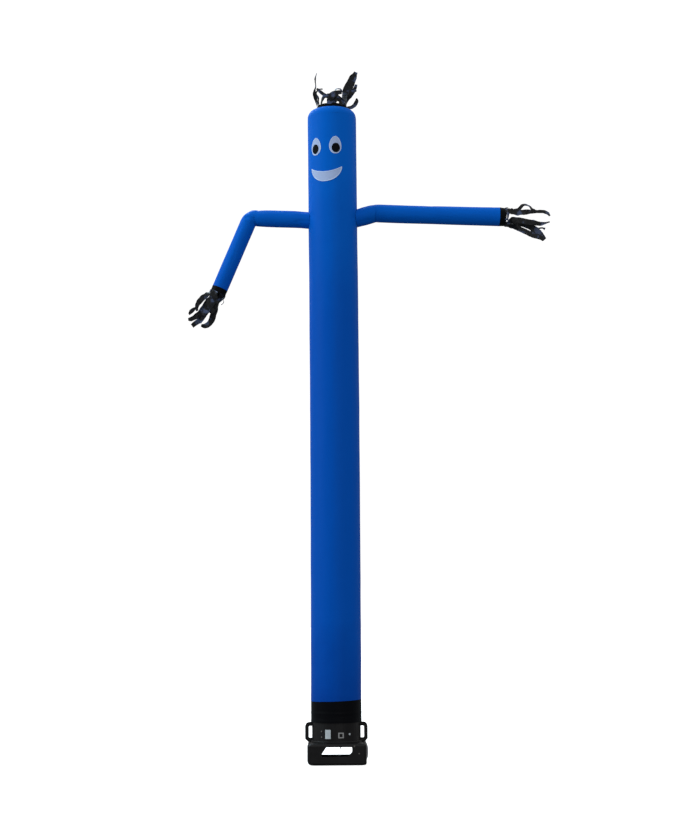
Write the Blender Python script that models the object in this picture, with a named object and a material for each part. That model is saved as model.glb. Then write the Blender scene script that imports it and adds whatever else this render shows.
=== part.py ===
"""Inflatable air dancer standing on its blower.

One tall tube of cloth with two sewn-on arms, a face of appliqués, and loose streamers at the
three vents. Its black sleeve slips over the round collar of a plain moulded blower.

Metres, +Z up. The origin is on the surface that the blower stands on, under the middle of the
collar. The blower's panel looks along -Y, and the raised arm points along +X.
"""

import math
from collections import namedtuple

import bmesh
import bpy
from mathutils import Vector

MM = 0.001
GAP = 0.0003  # between pieces that touch

# The tube and its cloth.
CLOTH = 0.002
TUBE_RADIUS = 0.2285
TUBE_SIDES = 40
SLEEVE_FOOT = 0.3685
SLEEVE_SEAM = 0.5605  # black sleeve to blue tube, at the tube's middle
SEAM_SLOPE = 0.033  # the seam climbs towards +X
SLEEVE_RIDGE = 0.0012  # how far the collar's bead pushes the sleeve out
CROWN_SEAM = 5.970
TUBE_LEVELS = (1.4, 2.3, 3.2, 4.1, 5.0, 5.5)
BOW = 0.0055  # the tube's gentle sideways curve
BOW_SPAN = 4.7

# The crown: round shoulders, a nearly flat top and a vent.
CROWN_TOP = 6.055
SHOULDER_WIDTH = 0.060
SHOULDER_HEIGHT = 0.078
SHOULDER_STEPS = 4
VENT_RADIUS = 0.130
BAND_RADIUS = 0.136
BAND_HEIGHT = 0.036
BAND_SIDES = 24

# The arms.
ARM_SIDES = 16
ARM_HOLE = 0.070  # radius of the tube's opening into each arm
ARM_SEAM = 0.0012  # keeps the straight edges of an arm's root off the tube
CUFF_LENGTH = 0.060
RIGHT_ROOT_HEIGHT = 5.0165
LEFT_ROOT_HEIGHT = 4.999
ELBOW_TURN = 67.0
ELBOW_STEPS = 4
ELBOW_SEAT = 0.0035  # keeps the inner fold of the elbow open

# The face, as angles round the tube and heights.
FACE_TURN = -16.6
EYE_SPREAD = 24.4
EYE_HALF_ANGLE = 13.6
EYE_HALF_HEIGHT = 0.080
EYE_HEIGHT = 5.659
PUPIL_SPREAD = 25.6
PUPIL_HALF_ANGLE = 9.9
PUPIL_HALF_HEIGHT = 0.046
PUPIL_HEIGHT = 5.634
MOUTH_HALF_ANGLE = 39.3
MOUTH_TOP = 5.409
MOUTH_LIFT = 0.0455  # how far the corners stand above the upper lip's middle
MOUTH_DEPTH = 0.088
PATCH = 0.001

# Streamers.
RIBBON = 0.0015
SEWN_ON = 0.012  # how far a streamer overlaps its cuff or band
RIBBON_STEPS = 3

# The blower.
WALL = 0.005
BASE_MIDDLE = 0.005
BASE_HALF_WIDTH = 0.265
BASE_HALF_DEPTH = 0.250
BASE_CORNER = 0.035
BASE_EDGE = 0.022
BASE_LEFT_FOOT_EDGE = 0.042
DECK = 0.191
PAN = 0.004
CORNER_STEPS = 6
COLLAR_RADIUS = 0.2205
COLLAR_WALL = 0.006
COLLAR_TOP = 0.446
FLANGE_RADIUS = 0.236
FLANGE_TOP = 0.208
BEAD_RADIUS = 0.2262
BEAD_HEIGHT = 0.014
COLLAR_SIDES = 48
HANDLE_REACH = 0.283
HANDLE_TOP = 0.366
HANDLE_BAR = 0.033
HANDLE_CHAMFER = 0.026
HANDLE_CORNER = 0.040
HANDLE_HALF_DEPTH = 0.018
HANDLE_EDGE = 0.006
HANDLE_ARM = 0.034
GUARD_LOW = 0.044
GUARD_HIGH = 0.168
GUARD_HALF_WIDTH = 0.158
GUARD_BULGE = 0.013
GUARD_SHEET = 0.003
SLOT_HEIGHT = 0.007
SLOT_PITCH = 0.0125
SLOT_HALF_WIDTH = 0.135

Paint = namedtuple("Paint", "colour roughness metallic")
BLUE_CLOTH = Paint((0.004, 0.075, 0.42), 0.55, 0.0)
BLACK_CLOTH = Paint((0.012, 0.012, 0.015), 0.6, 0.0)
STREAMER_CLOTH = Paint((0.012, 0.016, 0.024), 0.4, 0.0)
WHITE_PATCH = Paint((0.55, 0.62, 0.75), 0.6, 0.0)
BLACK_PATCH = Paint((0.008, 0.010, 0.016), 0.5, 0.0)
BLACK_PLASTIC = Paint((0.020, 0.021, 0.024), 0.45, 0.0)
GREY_PLASTIC = Paint((0.30, 0.31, 0.32), 0.45, 0.0)
WIRE_PAINT = Paint((0.35, 0.36, 0.38), 0.4, 0.6)
PLATE_PAINT = Paint((0.62, 0.64, 0.66), 0.35, 0.0)
STEEL = Paint((0.35, 0.36, 0.38), 0.35, 1.0)

Corner = namedtuple("Corner", "across up radius")
Station = namedtuple("Station", "x z radius")
Fold = namedtuple("Fold", "across up front width face")
Streamer = namedtuple("Streamer", "name rim width folds")


# ---------------------------------------------------------------- scene and mesh helpers


def clear_scene():
    for item in list(bpy.data.objects):
        bpy.data.objects.remove(item, do_unlink=True)


def painted(name, paint):
    material = bpy.data.materials.get(name) or bpy.data.materials.new(name)
    material.use_nodes = True
    shader = material.node_tree.nodes["Principled BSDF"]
    shader.inputs["Base Color"].default_value = (*paint.colour, 1.0)
    shader.inputs["Roughness"].default_value = paint.roughness
    shader.inputs["Metallic"].default_value = paint.metallic
    return material


def add_object(name, bm, material=None, smooth_below=35.0):
    """Turn a bmesh into a named object with its faces pointing out."""
    bmesh.ops.recalc_face_normals(bm, faces=bm.faces[:])
    if bm.calc_volume(signed=True) < 0:
        bmesh.ops.reverse_faces(bm, faces=bm.faces[:])
    mesh = bpy.data.meshes.new(name)
    bm.to_mesh(mesh)
    bm.free()
    mesh.shade_smooth()
    mesh.set_sharp_from_angle(angle=math.radians(smooth_below))
    item = bpy.data.objects.new(name, mesh)
    bpy.context.scene.collection.objects.link(item)
    if material:
        mesh.materials.append(material)
    return item


def loft(rings, joined=False):
    """Skin a row of equal closed rings. The ends are capped, or joined to each other."""
    bm = bmesh.new()
    rows = [[bm.verts.new(point) for point in ring] for ring in rings]
    pairs = list(zip(rows, rows[1:]))
    if joined:
        pairs.append((rows[-1], rows[0]))
    else:
        bm.faces.new(rows[0])
        bm.faces.new(rows[-1])
    count = len(rows[0])
    for low, high in pairs:
        for k in range(count):
            n = (k + 1) % count
            bm.faces.new((low[k], low[n], high[n], high[k]))
    return bm


def shell(outer, inner):
    """A sheet with two faces: rings of its outer face, then of its inner face, joined up."""
    return loft(list(outer) + list(reversed(list(inner))), joined=True)


def circle(centre, radius, side, up, count):
    """A ring of points around centre, in the plane of the two unit vectors."""
    turns = [2 * math.pi * k / count for k in range(count)]
    return [centre + radius * (side * math.sin(t) + up * math.cos(t)) for t in turns]


def lathe(profile, count, middle=0.0):
    """A closed ring-shaped solid from a closed (radius, height) profile."""
    x, y = Vector((1, 0, 0)), Vector((0, 1, 0))
    return loft([circle(Vector((middle, 0, z)), r, x, y, count) for r, z in profile], True)


def cut(item, bm, smooth_below=35.0):
    """Take a solid away from an object, and keep the new edges crisp."""
    tool = add_object("cutter", bm)
    modifier = item.modifiers.new("cut", "BOOLEAN")
    modifier.operation = "DIFFERENCE"
    modifier.solver = "EXACT"
    modifier.object = tool
    graph = bpy.context.evaluated_depsgraph_get()
    mesh = bpy.data.meshes.new_from_object(item.evaluated_get(graph))
    item.modifiers.clear()
    item.data = mesh
    mesh.set_sharp_from_angle(angle=math.radians(smooth_below))
    bpy.data.objects.remove(tool, do_unlink=True)


def round_corners(corners, steps=4):
    """The outline of a polygon, given as Corner rows, with an arc at each corner."""
    points = []
    for k, corner in enumerate(corners):
        here = Vector((corner.across, corner.up))
        before = Vector(corners[k - 1][:2]) - here
        after = Vector(corners[(k + 1) % len(corners)][:2]) - here
        half = before.angle(after) / 2
        back = corner.radius / math.tan(half)
        centre = here + (before.normalized() + after.normalized()).normalized() * (
            corner.radius / math.sin(half)
        )
        start = here + before.normalized() * back - centre
        end = here + after.normalized() * back - centre
        sweep = math.pi - 2 * half
        for s in range(steps + 1):
            share = s / steps
            a = math.sin((1 - share) * sweep) / math.sin(sweep)
            b = math.sin(share * sweep) / math.sin(sweep)
            points.append(centre + a * start + b * end)
    return points


def extruded(outline, place, near, far):
    """A prism of a flat outline. place turns (across, up, depth) into a point."""
    rings = [[place(p[0], p[1], depth) for p in outline] for depth in (near, far)]
    return loft(rings)


def facing_front(across, up, depth):
    return Vector((across, depth, up))


def facing_side(across, up, depth):
    return Vector((depth, across, up))


# ---------------------------------------------------------------- the tube


def tube_middle(height):
    """How far the tube's axis stands from upright at a height."""
    return BOW * math.sin(math.pi * max(height - SLEEVE_SEAM, 0.0) / BOW_SPAN)


def tube_ring(height, radius, slope=0.0):
    middle = Vector((tube_middle(height), 0, height))
    ring = circle(middle, radius, Vector((1, 0, 0)), Vector((0, -1, 0)), TUBE_SIDES)
    return [point + Vector((0, 0, slope * point.x)) for point in ring]


def make_body_tube(material):
    foot = SLEEVE_SEAM + GAP / 2
    levels = [(foot, SEAM_SLOPE), *((z, 0.0) for z in (*TUBE_LEVELS, CROWN_SEAM))]
    outer = [tube_ring(z, TUBE_RADIUS, slope) for z, slope in levels]
    inner = [tube_ring(z, TUBE_RADIUS - CLOTH, slope) for z, slope in levels]
    body = add_object("body_tube", shell(outer, inner), material)
    for side, height in ((1, RIGHT_ROOT_HEIGHT), (-1, LEFT_ROOT_HEIGHT)):
        ends = [Vector((side * x, 0, height)) for x in (0.12, 0.30)]
        y, z = Vector((0, 1, 0)), Vector((0, 0, 1))
        hole = loft([circle(end, ARM_HOLE, y, z, ARM_SIDES) for end in ends])
        cut(body, hole)
    return body


def make_sleeve(material):
    ridge = COLLAR_TOP - BEAD_HEIGHT / 2
    top = SLEEVE_SEAM - GAP / 2
    levels = [(SLEEVE_FOOT, 0.0, 0.0), (ridge, SLEEVE_RIDGE, 0.0)]
    levels += [(ridge + 0.041, 0.0, 0.0), (top, 0.0, SEAM_SLOPE)]
    outer = [tube_ring(z, TUBE_RADIUS + out, s) for z, out, s in levels]
    inner = [tube_ring(z, TUBE_RADIUS + out - CLOTH, s) for z, out, s in levels]
    return add_object("blower_sleeve", shell(outer, inner), material)


def crown_section(offset):
    """Points (radius, height) of the crown from its seam to its vent, offset inwards."""
    points = []
    for k in range(SHOULDER_STEPS + 1):
        turn = 0.5 * math.pi * k / SHOULDER_STEPS
        out, up = math.cos(turn), math.sin(turn)
        r = TUBE_RADIUS - SHOULDER_WIDTH * (1 - out) - offset * out
        z = CROWN_SEAM + GAP + SHOULDER_HEIGHT * up - offset * up
        points.append((r, z))
    points.append((BAND_RADIUS + 0.006, CROWN_TOP - offset))
    points.append((VENT_RADIUS, CROWN_TOP - offset))
    return points


def make_crown(material):
    profile = crown_section(0.0) + crown_section(CLOTH)[::-1]
    middle = tube_middle(CROWN_SEAM)
    return add_object("crown_panel", lathe(profile, TUBE_SIDES, middle), material)


def make_vent_band(material):
    low, high = CROWN_TOP + GAP, CROWN_TOP + BAND_HEIGHT
    inner = BAND_RADIUS - CLOTH
    profile = ((BAND_RADIUS, low), (BAND_RADIUS, high), (inner, high), (inner, low))
    middle = tube_middle(CROWN_SEAM)
    return add_object("vent_band", lathe(profile, BAND_SIDES, middle), material)


# ---------------------------------------------------------------- the arms

RIGHT_ARM = (
    Station(0.300, 5.0355, 0.0850),
    Station(0.368, 5.0540, 0.0835),
    Station(0.397, 5.0600, 0.0810),
    Station(0.430, 5.0602, 0.0838),
    Station(0.650, 5.0510, 0.0842),
    Station(0.950, 5.0405, 0.0845),
    Station(1.250, 5.0295, 0.0858),
    Station(1.500, 5.0220, 0.0872),
    Station(1.5635, 5.0200, 0.0880),
)
RIGHT_CUFF_END = Station(1.6235, 5.0160, 0.0845)
LEFT_ARM = (
    Station(-0.290, 5.0045, 0.0765),
    Station(-0.360, 5.0100, 0.0785),
    Station(-0.500, 5.0150, 0.0790),
    Station(-0.620, 5.0190, 0.0780),
    Station(-0.700, 5.0205, 0.0735),
)
ELBOW_FOLD = (-0.722, 4.949)  # x and z of the inner fold
ELBOW_RADII = (0.0715, 0.0725, 0.0730, 0.0740, 0.0745)
FOREARM_LENGTH = 0.674
FOREARM_RADII = (0.0750, 0.0740, 0.0736)


def section(station, along):
    """A ring of an arm around its station, square to the direction along."""
    front = Vector((0, -1, 0))
    up = front.cross(along).normalized()
    return Vector((station.x, 0, station.z)), front, up


def directions(stations):
    """The way an arm runs at each station, halfway between its neighbours."""
    points = [Vector((s.x, 0, s.z)) for s in stations]
    last = len(points) - 1
    steps = [points[min(k + 1, last)] - points[max(k - 1, 0)] for k in range(last + 1)]
    return [step.normalized() for step in steps]


def root_ring(side, height, radius):
    """The end of an arm where it meets the tube: each point lies on the tube's wall."""
    wall = TUBE_RADIUS + ARM_SEAM
    ring = circle(Vector((0, 0, height)), radius, Vector((0, -1, 0)), Vector((0, 0, 1)), ARM_SIDES)
    reaches = [side * math.sqrt(wall**2 - p.y**2) for p in ring]
    return [Vector((tube_middle(p.z) + x, p.y, p.z)) for p, x in zip(ring, reaches)]


def arm_rings(stations, runs, offset):
    rings = []
    for station, run in zip(stations, runs):
        centre, front, up = section(station, run)
        rings.append(circle(centre, station.radius - offset, front, up, ARM_SIDES))
    return rings


def make_arm(name, side, root, stations, runs, material):
    """An arm of two-faced cloth from its saddle on the tube to its cuff."""
    height, radius = root
    outer = [root_ring(side, height, radius), *arm_rings(stations, runs, 0.0)]
    inner = [root_ring(side, height, radius - CLOTH), *arm_rings(stations, runs, CLOTH)]
    return add_object(name, shell(outer, inner), material, 50.0)


def upward(run):
    """Keep the rings of both arms turning the same way: up is never below the arm."""
    return run if run.x > 0 else -run


def left_arm_path():
    """Stations and runs of the bent arm: upper arm, elbow turned about its fold, forearm."""
    stations = list(LEFT_ARM)
    runs = [upward(run) for run in directions(stations)]
    fold = Vector((ELBOW_FOLD[0], 0, ELBOW_FOLD[1]))
    for k, radius in enumerate(ELBOW_RADII):
        turn = math.radians(ELBOW_TURN * k / ELBOW_STEPS)
        up = Vector((-math.sin(turn), 0, math.cos(turn)))
        centre = fold + up * (radius + ELBOW_SEAT)
        stations.append(Station(centre.x, centre.z, radius))
        runs.append(Vector((up.z, 0, -up.x)))
    elbow, run = stations[-1], runs[-1]
    for k, radius in enumerate(FOREARM_RADII, start=1):
        far = FOREARM_LENGTH * k / len(FOREARM_RADII)
        stations.append(Station(elbow.x - run.x * far, elbow.z - run.z * far, radius))
        runs.append(run)
    return stations, runs


def make_cuff(name, start, end, run, material):
    """A short black ring that carries on from an arm's end."""
    along = Vector((end.x - start.x, 0, end.z - start.z)).normalized()
    near = Station(start.x + along.x * GAP, start.z + along.z * GAP, start.radius)
    runs = (run, run)
    outer = arm_rings((near, end), runs, 0.0)
    inner = arm_rings((near, end), runs, CLOTH)
    return add_object(name, shell(outer, inner), material)


# ---------------------------------------------------------------- appliqués on round walls


def wall_patch(name, radius, thickness, facing, half_angle, edges, material, columns=10):
    """A patch bent round the tube or the collar, facing an angle from the front.

    edges(u) gives the patch's low and high edge at u, which runs from -1 to 1 across it.
    """
    rings = []
    for k in range(columns + 1):
        u = -math.cos(math.pi * (0.06 + 0.88 * k / columns))
        turn = math.radians(facing + half_angle * u)
        low, high = edges(u)
        out = Vector((math.sin(turn), -math.cos(turn), 0))
        corners = ((radius, low), (radius + thickness, low))
        corners += ((radius + thickness, high), (radius, high))
        rings.append([out * r + Vector((tube_middle(z), 0, z)) for r, z in corners])
    return add_object(name, loft(rings), material)


def oval_edges(height, half_height):
    def edges(u):
        half = half_height * math.sqrt(1 - u * u)
        return height - half, height + half

    return edges


def smile_edges(u):
    """The smile's lower and upper lip: the upper one sags a little, the lower one a lot."""
    high = MOUTH_TOP + MOUTH_LIFT * u * u
    rim = MOUTH_TOP + MOUTH_LIFT
    drop = (MOUTH_DEPTH + MOUTH_LIFT) * (1 - abs(u) ** 2.1) ** 0.6
    return rim - drop, high


def plate_edges(low, high):
    return lambda u: (low, high)


def make_face(white, black):
    skin = TUBE_RADIUS + 2 * GAP
    over = skin + PATCH + GAP
    for word, side in (("left", -1), ("right", 1)):
        eye = FACE_TURN + side * EYE_SPREAD
        oval = oval_edges(EYE_HEIGHT, EYE_HALF_HEIGHT)
        wall_patch("eye_white_" + word, skin, PATCH, eye, EYE_HALF_ANGLE, oval, white)
        pupil = FACE_TURN + side * PUPIL_SPREAD
        oval = oval_edges(PUPIL_HEIGHT, PUPIL_HALF_HEIGHT)
        wall_patch("eye_pupil_" + word, over, PATCH, pupil, PUPIL_HALF_ANGLE, oval, black)
    wall_patch("smile", skin, PATCH, FACE_TURN, MOUTH_HALF_ANGLE, smile_edges, white, 20)


# ---------------------------------------------------------------- streamers
# Each streamer is sewn to a rim at an angle from the front. Its folds are places in
# millimetres from the middle of that rim: across is +X, up is +Z and front is -Y. face is
# how far the ribbon is turned from lying flat towards the front, in degrees.

HEAD_STREAMERS = (
    Streamer(
        "head_upright",
        88,
        24,
        (
            Fold(-142, 50, 6, 24, 30),
            Fold(-162, 112, 14, 36, 0),
            Fold(-160, 150, 18, 26, 20),
            Fold(-151, 200, 20, 16, 50),
            Fold(-154, 262, 22, 18, 30),
            Fold(-142, 318, 26, 6, 20),
        ),
    ),
    Streamer(
        "head_left_low",
        60,
        20,
        (
            Fold(-127, 34, 70, 20, 10),
            Fold(-127, 62, 68, 18, 0),
            Fold(-146, 100, 60, 20, 0),
            Fold(-166, 134, 52, 12, 0),
        ),
    ),
    Streamer(
        "head_low",
        42,
        22,
        (
            Fold(-86, 34, 110, 26, 30),
            Fold(-68, 64, 118, 32, 16),
            Fold(-22, 72, 127, 38, 6),
            Fold(24, 50, 133, 36, 0),
            Fold(52, 22, 135, 24, 0),
        ),
    ),
    Streamer(
        "head_spur",
        112,
        14,
        (
            Fold(-138, 60, -56, 16, 130),
            Fold(-156, 128, -56, 20, 160),
            Fold(-128, 182, -54, 15, 180),
            Fold(-84, 190, -52, 12, 180),
        ),
    ),
    Streamer(
        "head_cross",
        -38,
        42,
        (
            Fold(72, 34, 122, 44, -10),
            Fold(20, 48, 118, 40, -8),
            Fold(-44, 68, 112, 34, 0),
            Fold(-96, 110, 104, 34, 0),
            Fold(-136, 150, 98, 18, 0),
        ),
    ),
    Streamer(
        "head_front",
        8,
        54,
        (
            Fold(-14, 34, 143, 60, 0),
            Fold(6, 66, 148, 62, 0),
            Fold(48, 88, 150, 50, 0),
            Fold(98, 96, 150, 30, 0),
        ),
    ),
    Streamer(
        "head_back",
        180,
        52,
        (
            Fold(-8, 40, -140, 56, 180),
            Fold(16, 92, -138, 54, 180),
            Fold(60, 134, -136, 36, 180),
        ),
    ),
    Streamer(
        "head_loop",
        -64,
        34,
        (
            Fold(84, 54, 74, 38, 20),
            Fold(44, 92, 64, 38, 40),
            Fold(32, 128, 60, 32, 50),
            Fold(50, 160, 58, 28, 56),
            Fold(86, 152, 56, 28, 56),
            Fold(108, 118, 54, 22, 50),
        ),
    ),
    Streamer(
        "head_tall",
        -104,
        48,
        (
            Fold(124, 46, -26, 66, -120),
            Fold(130, 104, -20, 80, -150),
            Fold(150, 168, -16, 88, -172),
            Fold(178, 232, -14, 78, -180),
            Fold(210, 296, -12, 64, -180),
            Fold(232, 344, -10, 34, -180),
        ),
    ),
    Streamer(
        "head_flag",
        -136,
        42,
        (
            Fold(112, 56, -88, 50, -144),
            Fold(140, 100, -80, 56, -164),
            Fold(180, 144, -76, 52, -180),
            Fold(214, 190, -74, 40, -180),
            Fold(236, 240, -74, 20, -180),
        ),
    ),
    Streamer(
        "head_spur_right",
        -86,
        24,
        (
            Fold(150, 52, 28, 30, -60),
            Fold(168, 96, 38, 32, -30),
            Fold(198, 132, 42, 28, 0),
            Fold(234, 148, 44, 22, 0),
        ),
    ),
    Streamer(
        "head_droop_right",
        -120,
        22,
        (
            Fold(140, 20, -76, 26, -140),
            Fold(178, 20, -86, 36, -165),
            Fold(216, 44, -92, 42, -180),
            Fold(236, 84, -92, 34, -180),
            Fold(238, 112, -92, 14, -180),
        ),
    ),
)

RIGHT_STREAMERS = (
    Streamer(
        "hand_right_flap",
        -24,
        16,
        (
            Fold(10, 10, 94, 26, 0),
            Fold(32, 32, 98, 40, 0),
            Fold(60, 50, 98, 38, 0),
        ),
    ),
    Streamer(
        "hand_right_upper",
        32,
        48,
        (
            Fold(50, 36, 64, 56, 20),
            Fold(110, 30, 58, 58, 8),
            Fold(190, 36, 52, 46, 0),
            Fold(260, 40, 48, 34, 0),
            Fold(340, 40, 44, 32, 0),
            Fold(384, 26, 42, 32, 0),
            Fold(410, -2, 40, 20, 0),
        ),
    ),
    Streamer(
        "hand_right_loop",
        84,
        44,
        (
            Fold(60, 72, 4, 44, 60),
            Fold(112, 70, 4, 40, 30),
            Fold(136, 90, 4, 38, 24),
            Fold(160, 112, 4, 32, 36),
            Fold(200, 114, 4, 30, 40),
            Fold(226, 98, 4, 26, 40),
            Fold(246, 74, 4, 24, 30),
            Fold(280, 60, 4, 22, 20),
        ),
    ),
    Streamer(
        "hand_right_middle",
        -50,
        40,
        (
            Fold(50, -42, 60, 58, -20),
            Fold(120, -44, 54, 58, 0),
            Fold(200, -56, 50, 52, 0),
            Fold(262, -68, 46, 46, 0),
            Fold(320, -76, 44, 38, 0),
            Fold(368, -68, 42, 20, 0),
            Fold(406, -58, 42, 8, 0),
        ),
    ),
    Streamer(
        "hand_right_lower",
        -88,
        44,
        (
            Fold(40, -88, 10, 50, -60),
            Fold(100, -104, 14, 52, -20),
            Fold(160, -134, 16, 52, 0),
            Fold(230, -168, 18, 50, 0),
            Fold(300, -196, 18, 46, 0),
            Fold(352, -214, 18, 34, 0),
        ),
    ),
    Streamer(
        "hand_right_fold",
        -142,
        44,
        (
            Fold(70, -44, -54, 44, -152),
            Fold(150, -56, -52, 48, -170),
            Fold(226, -78, -50, 56, -180),
            Fold(280, -112, -50, 66, -180),
            Fold(316, -150, -50, 68, -180),
            Fold(344, -184, -50, 60, -180),
            Fold(364, -208, -50, 44, -180),
        ),
    ),
    Streamer(
        "hand_right_tip",
        -178,
        16,
        (
            Fold(90, -20, -94, 16, -180),
            Fold(200, -62, -94, 16, -180),
            Fold(300, -88, -94, 14, -180),
            Fold(352, -84, -94, 14, -180),
            Fold(378, -94, -94, 26, -180),
        ),
    ),
)

LEFT_STREAMERS = (
    Streamer(
        "hand_left_outer",
        -66,
        40,
        (
            Fold(-90, -4, 40, 52, -30),
            Fold(-134, -44, 44, 54, 0),
            Fold(-172, -84, 46, 48, 0),
            Fold(-190, -128, 46, 34, 0),
            Fold(-182, -166, 46, 26, 0),
        ),
    ),
    Streamer(
        "hand_left_strand",
        -98,
        10,
        (
            Fold(-94, -22, -8, 10, -60),
            Fold(-120, -74, -4, 9, 0),
            Fold(-136, -104, 0, 9, 0),
            Fold(-154, -140, 2, 8, 0),
        ),
    ),
    Streamer(
        "hand_left_main",
        -18,
        64,
        (
            Fold(-36, -52, 74, 82, -8),
            Fold(-62, -100, 76, 80, 0),
            Fold(-92, -152, 76, 64, 0),
            Fold(-118, -206, 76, 46, 0),
            Fold(-138, -256, 76, 30, 0),
            Fold(-150, -286, 76, 12, 0),
        ),
    ),
    Streamer(
        "hand_left_inner",
        38,
        44,
        (
            Fold(8, -60, 50, 46, 20),
            Fold(-10, -108, 44, 50, 8),
            Fold(-34, -148, 40, 46, 0),
            Fold(-62, -188, 38, 28, 0),
        ),
    ),
    Streamer(
        "hand_left_low",
        -146,
        40,
        (
            Fold(-100, -56, -52, 42, -152),
            Fold(-134, -118, -52, 48, -170),
            Fold(-168, -168, -52, 50, -180),
            Fold(-208, -202, -52, 50, -180),
            Fold(-246, -222, -52, 44, -180),
            Fold(-280, -226, -52, 26, -180),
        ),
    ),
    Streamer(
        "hand_left_under",
        178,
        38,
        (
            Fold(-60, -84, -90, 42, 180),
            Fold(-112, -160, -92, 44, 180),
            Fold(-168, -222, -92, 46, 180),
            Fold(-214, -258, -92, 46, 180),
            Fold(-246, -284, -92, 40, 180),
        ),
    ),
    Streamer(
        "hand_left_flag",
        -118,
        8,
        (
            Fold(-112, -34, -30, 8, -140),
            Fold(-158, -84, -24, 7, -170),
            Fold(-196, -118, -20, 8, -180),
            Fold(-224, -138, -18, 34, -180),
            Fold(-250, -164, -18, 40, -180),
            Fold(-268, -188, -18, 16, -180),
        ),
    ),
    Streamer(
        "hand_left_loop",
        128,
        44,
        (
            Fold(-4, -64, -54, 48, 144),
            Fold(-22, -124, -54, 54, 164),
            Fold(-40, -176, -54, 60, 180),
            Fold(-54, -228, -54, 60, 180),
            Fold(-84, -270, -54, 54, 180),
            Fold(-124, -290, -54, 46, 180),
            Fold(-158, -284, -54, 24, 180),
        ),
    ),
    Streamer(
        "hand_left_curl",
        82,
        12,
        (
            Fold(48, -42, 10, 12, 84),
            Fold(60, -62, 12, 12, 86),
            Fold(57, -86, 14, 12, 86),
            Fold(38, -104, 16, 12, 84),
        ),
    ),
)


def catmull(a, b, c, d, t):
    """A smooth step from b to c, given their neighbours a and d."""
    bend = 2 * a - 5 * b + 4 * c - d
    swing = 3 * b - a - 3 * c + d
    return 0.5 * (2 * b + (c - a) * t + bend * t**2 + swing * t**3)


def ribbon_rows(streamer, home, along, rim_radius):
    """The streamer's controls: place, half width and face, starting on the rim."""
    front = Vector((0, -1, 0))
    side = front.cross(along)
    turn = math.radians(streamer.rim)
    out = front * math.cos(turn) + side * math.sin(turn)
    sewn = home + out * (rim_radius + 2 * RIBBON)
    rows = [(sewn - along * SEWN_ON, streamer.width, streamer.rim)]
    rows.append((sewn + along * SEWN_ON, streamer.width, streamer.rim))
    for fold in streamer.folds:
        place = home + Vector((fold.across, -fold.front, fold.up)) * MM
        rows.append((place, fold.width, fold.face))
    return [(place, width * MM / 2, math.radians(face)) for place, width, face in rows]


def ribbon_rings(rows):
    """Four-cornered sections along the streamer, smoothed between its controls."""
    ends = [rows[0], *rows, rows[-1]]
    samples = []
    for a, b, c, d in zip(ends, ends[1:], ends[2:], ends[3:]):
        for step in range(RIBBON_STEPS):
            t = step / RIBBON_STEPS
            samples.append([catmull(*values, t) for values in zip(a, b, c, d)])
    samples.append(list(rows[-1]))
    rings = []
    for k, (place, half, face) in enumerate(samples):
        ahead = samples[min(k + 1, len(samples) - 1)][0]
        behind = samples[max(k - 1, 0)][0]
        run = (ahead - behind).normalized()
        front = Vector((0, -1, 0))
        front = (front - run * front.dot(run)).normalized()
        flat = run.cross(front)
        wide = (flat * math.cos(face) + front * math.sin(face)) * half
        thick = (front * math.cos(face) - flat * math.sin(face)) * RIBBON / 2
        left, right = place - wide, place + wide
        rings.append([right + thick, left + thick, left - thick, right - thick])
    return rings


def ribbon_skin(rings):
    """Triangles between the sections. Both faces have the same diagonals, so they stay apart."""
    bm = bmesh.new()
    rows = [[bm.verts.new(point) for point in ring] for ring in rings]
    bm.faces.new(rows[0])
    bm.faces.new(rows[-1])
    for low, high in zip(rows, rows[1:]):
        for k in range(4):
            n = (k + 1) % 4
            if k < 2:
                bm.faces.new((low[k], low[n], high[n]))
                bm.faces.new((low[k], high[n], high[k]))
            else:
                bm.faces.new((low[k], low[n], high[k]))
                bm.faces.new((low[n], high[n], high[k]))
    return bm


def make_streamers(streamers, home, along, rim_radius, material):
    for streamer in streamers:
        rows = ribbon_rows(streamer, home, along, rim_radius)
        add_object(streamer.name, ribbon_skin(ribbon_rings(rows)), material)


# ---------------------------------------------------------------- the blower


def box_ring(left, right, half_depth, height):
    """A rectangle with round corners, as a ring at a height, from the -X -Y corner on."""
    ring = []
    corners = ((-1, -1, 180), (1, -1, 270), (1, 1, 0), (-1, 1, 90))
    for x_side, y_side, first in corners:
        x = (right - BASE_CORNER) if x_side > 0 else (left + BASE_CORNER)
        y = y_side * (half_depth - BASE_CORNER)
        for k in range(CORNER_STEPS + 1):
            turn = math.radians(first + 90 * k / CORNER_STEPS)
            across = x + BASE_CORNER * math.cos(turn)
            ring.append(Vector((across, y + BASE_CORNER * math.sin(turn), height)))
    return ring


def deck_hole_ring(radius, height):
    """The collar's bore, with as many points as a box ring and in the same order."""
    ring = []
    for quarter in range(4):
        for k in range(CORNER_STEPS + 1):
            turn = math.radians(180 + 90 * (quarter + (k + 0.5) / (CORNER_STEPS + 1)))
            ring.append(Vector((radius * math.cos(turn), radius * math.sin(turn), height)))
    return ring


def edge_inset(height, low_edge, high_edge):
    """How far the wall draws in at a height, for its rounded foot and top edges."""
    inset = 0.0
    if height < low_edge:
        inset = low_edge - math.sqrt(low_edge**2 - (low_edge - height) ** 2)
    if height > DECK - high_edge:
        over = height - (DECK - high_edge)
        inset = high_edge - math.sqrt(max(high_edge**2 - over**2, 0.0))
    return inset


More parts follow.
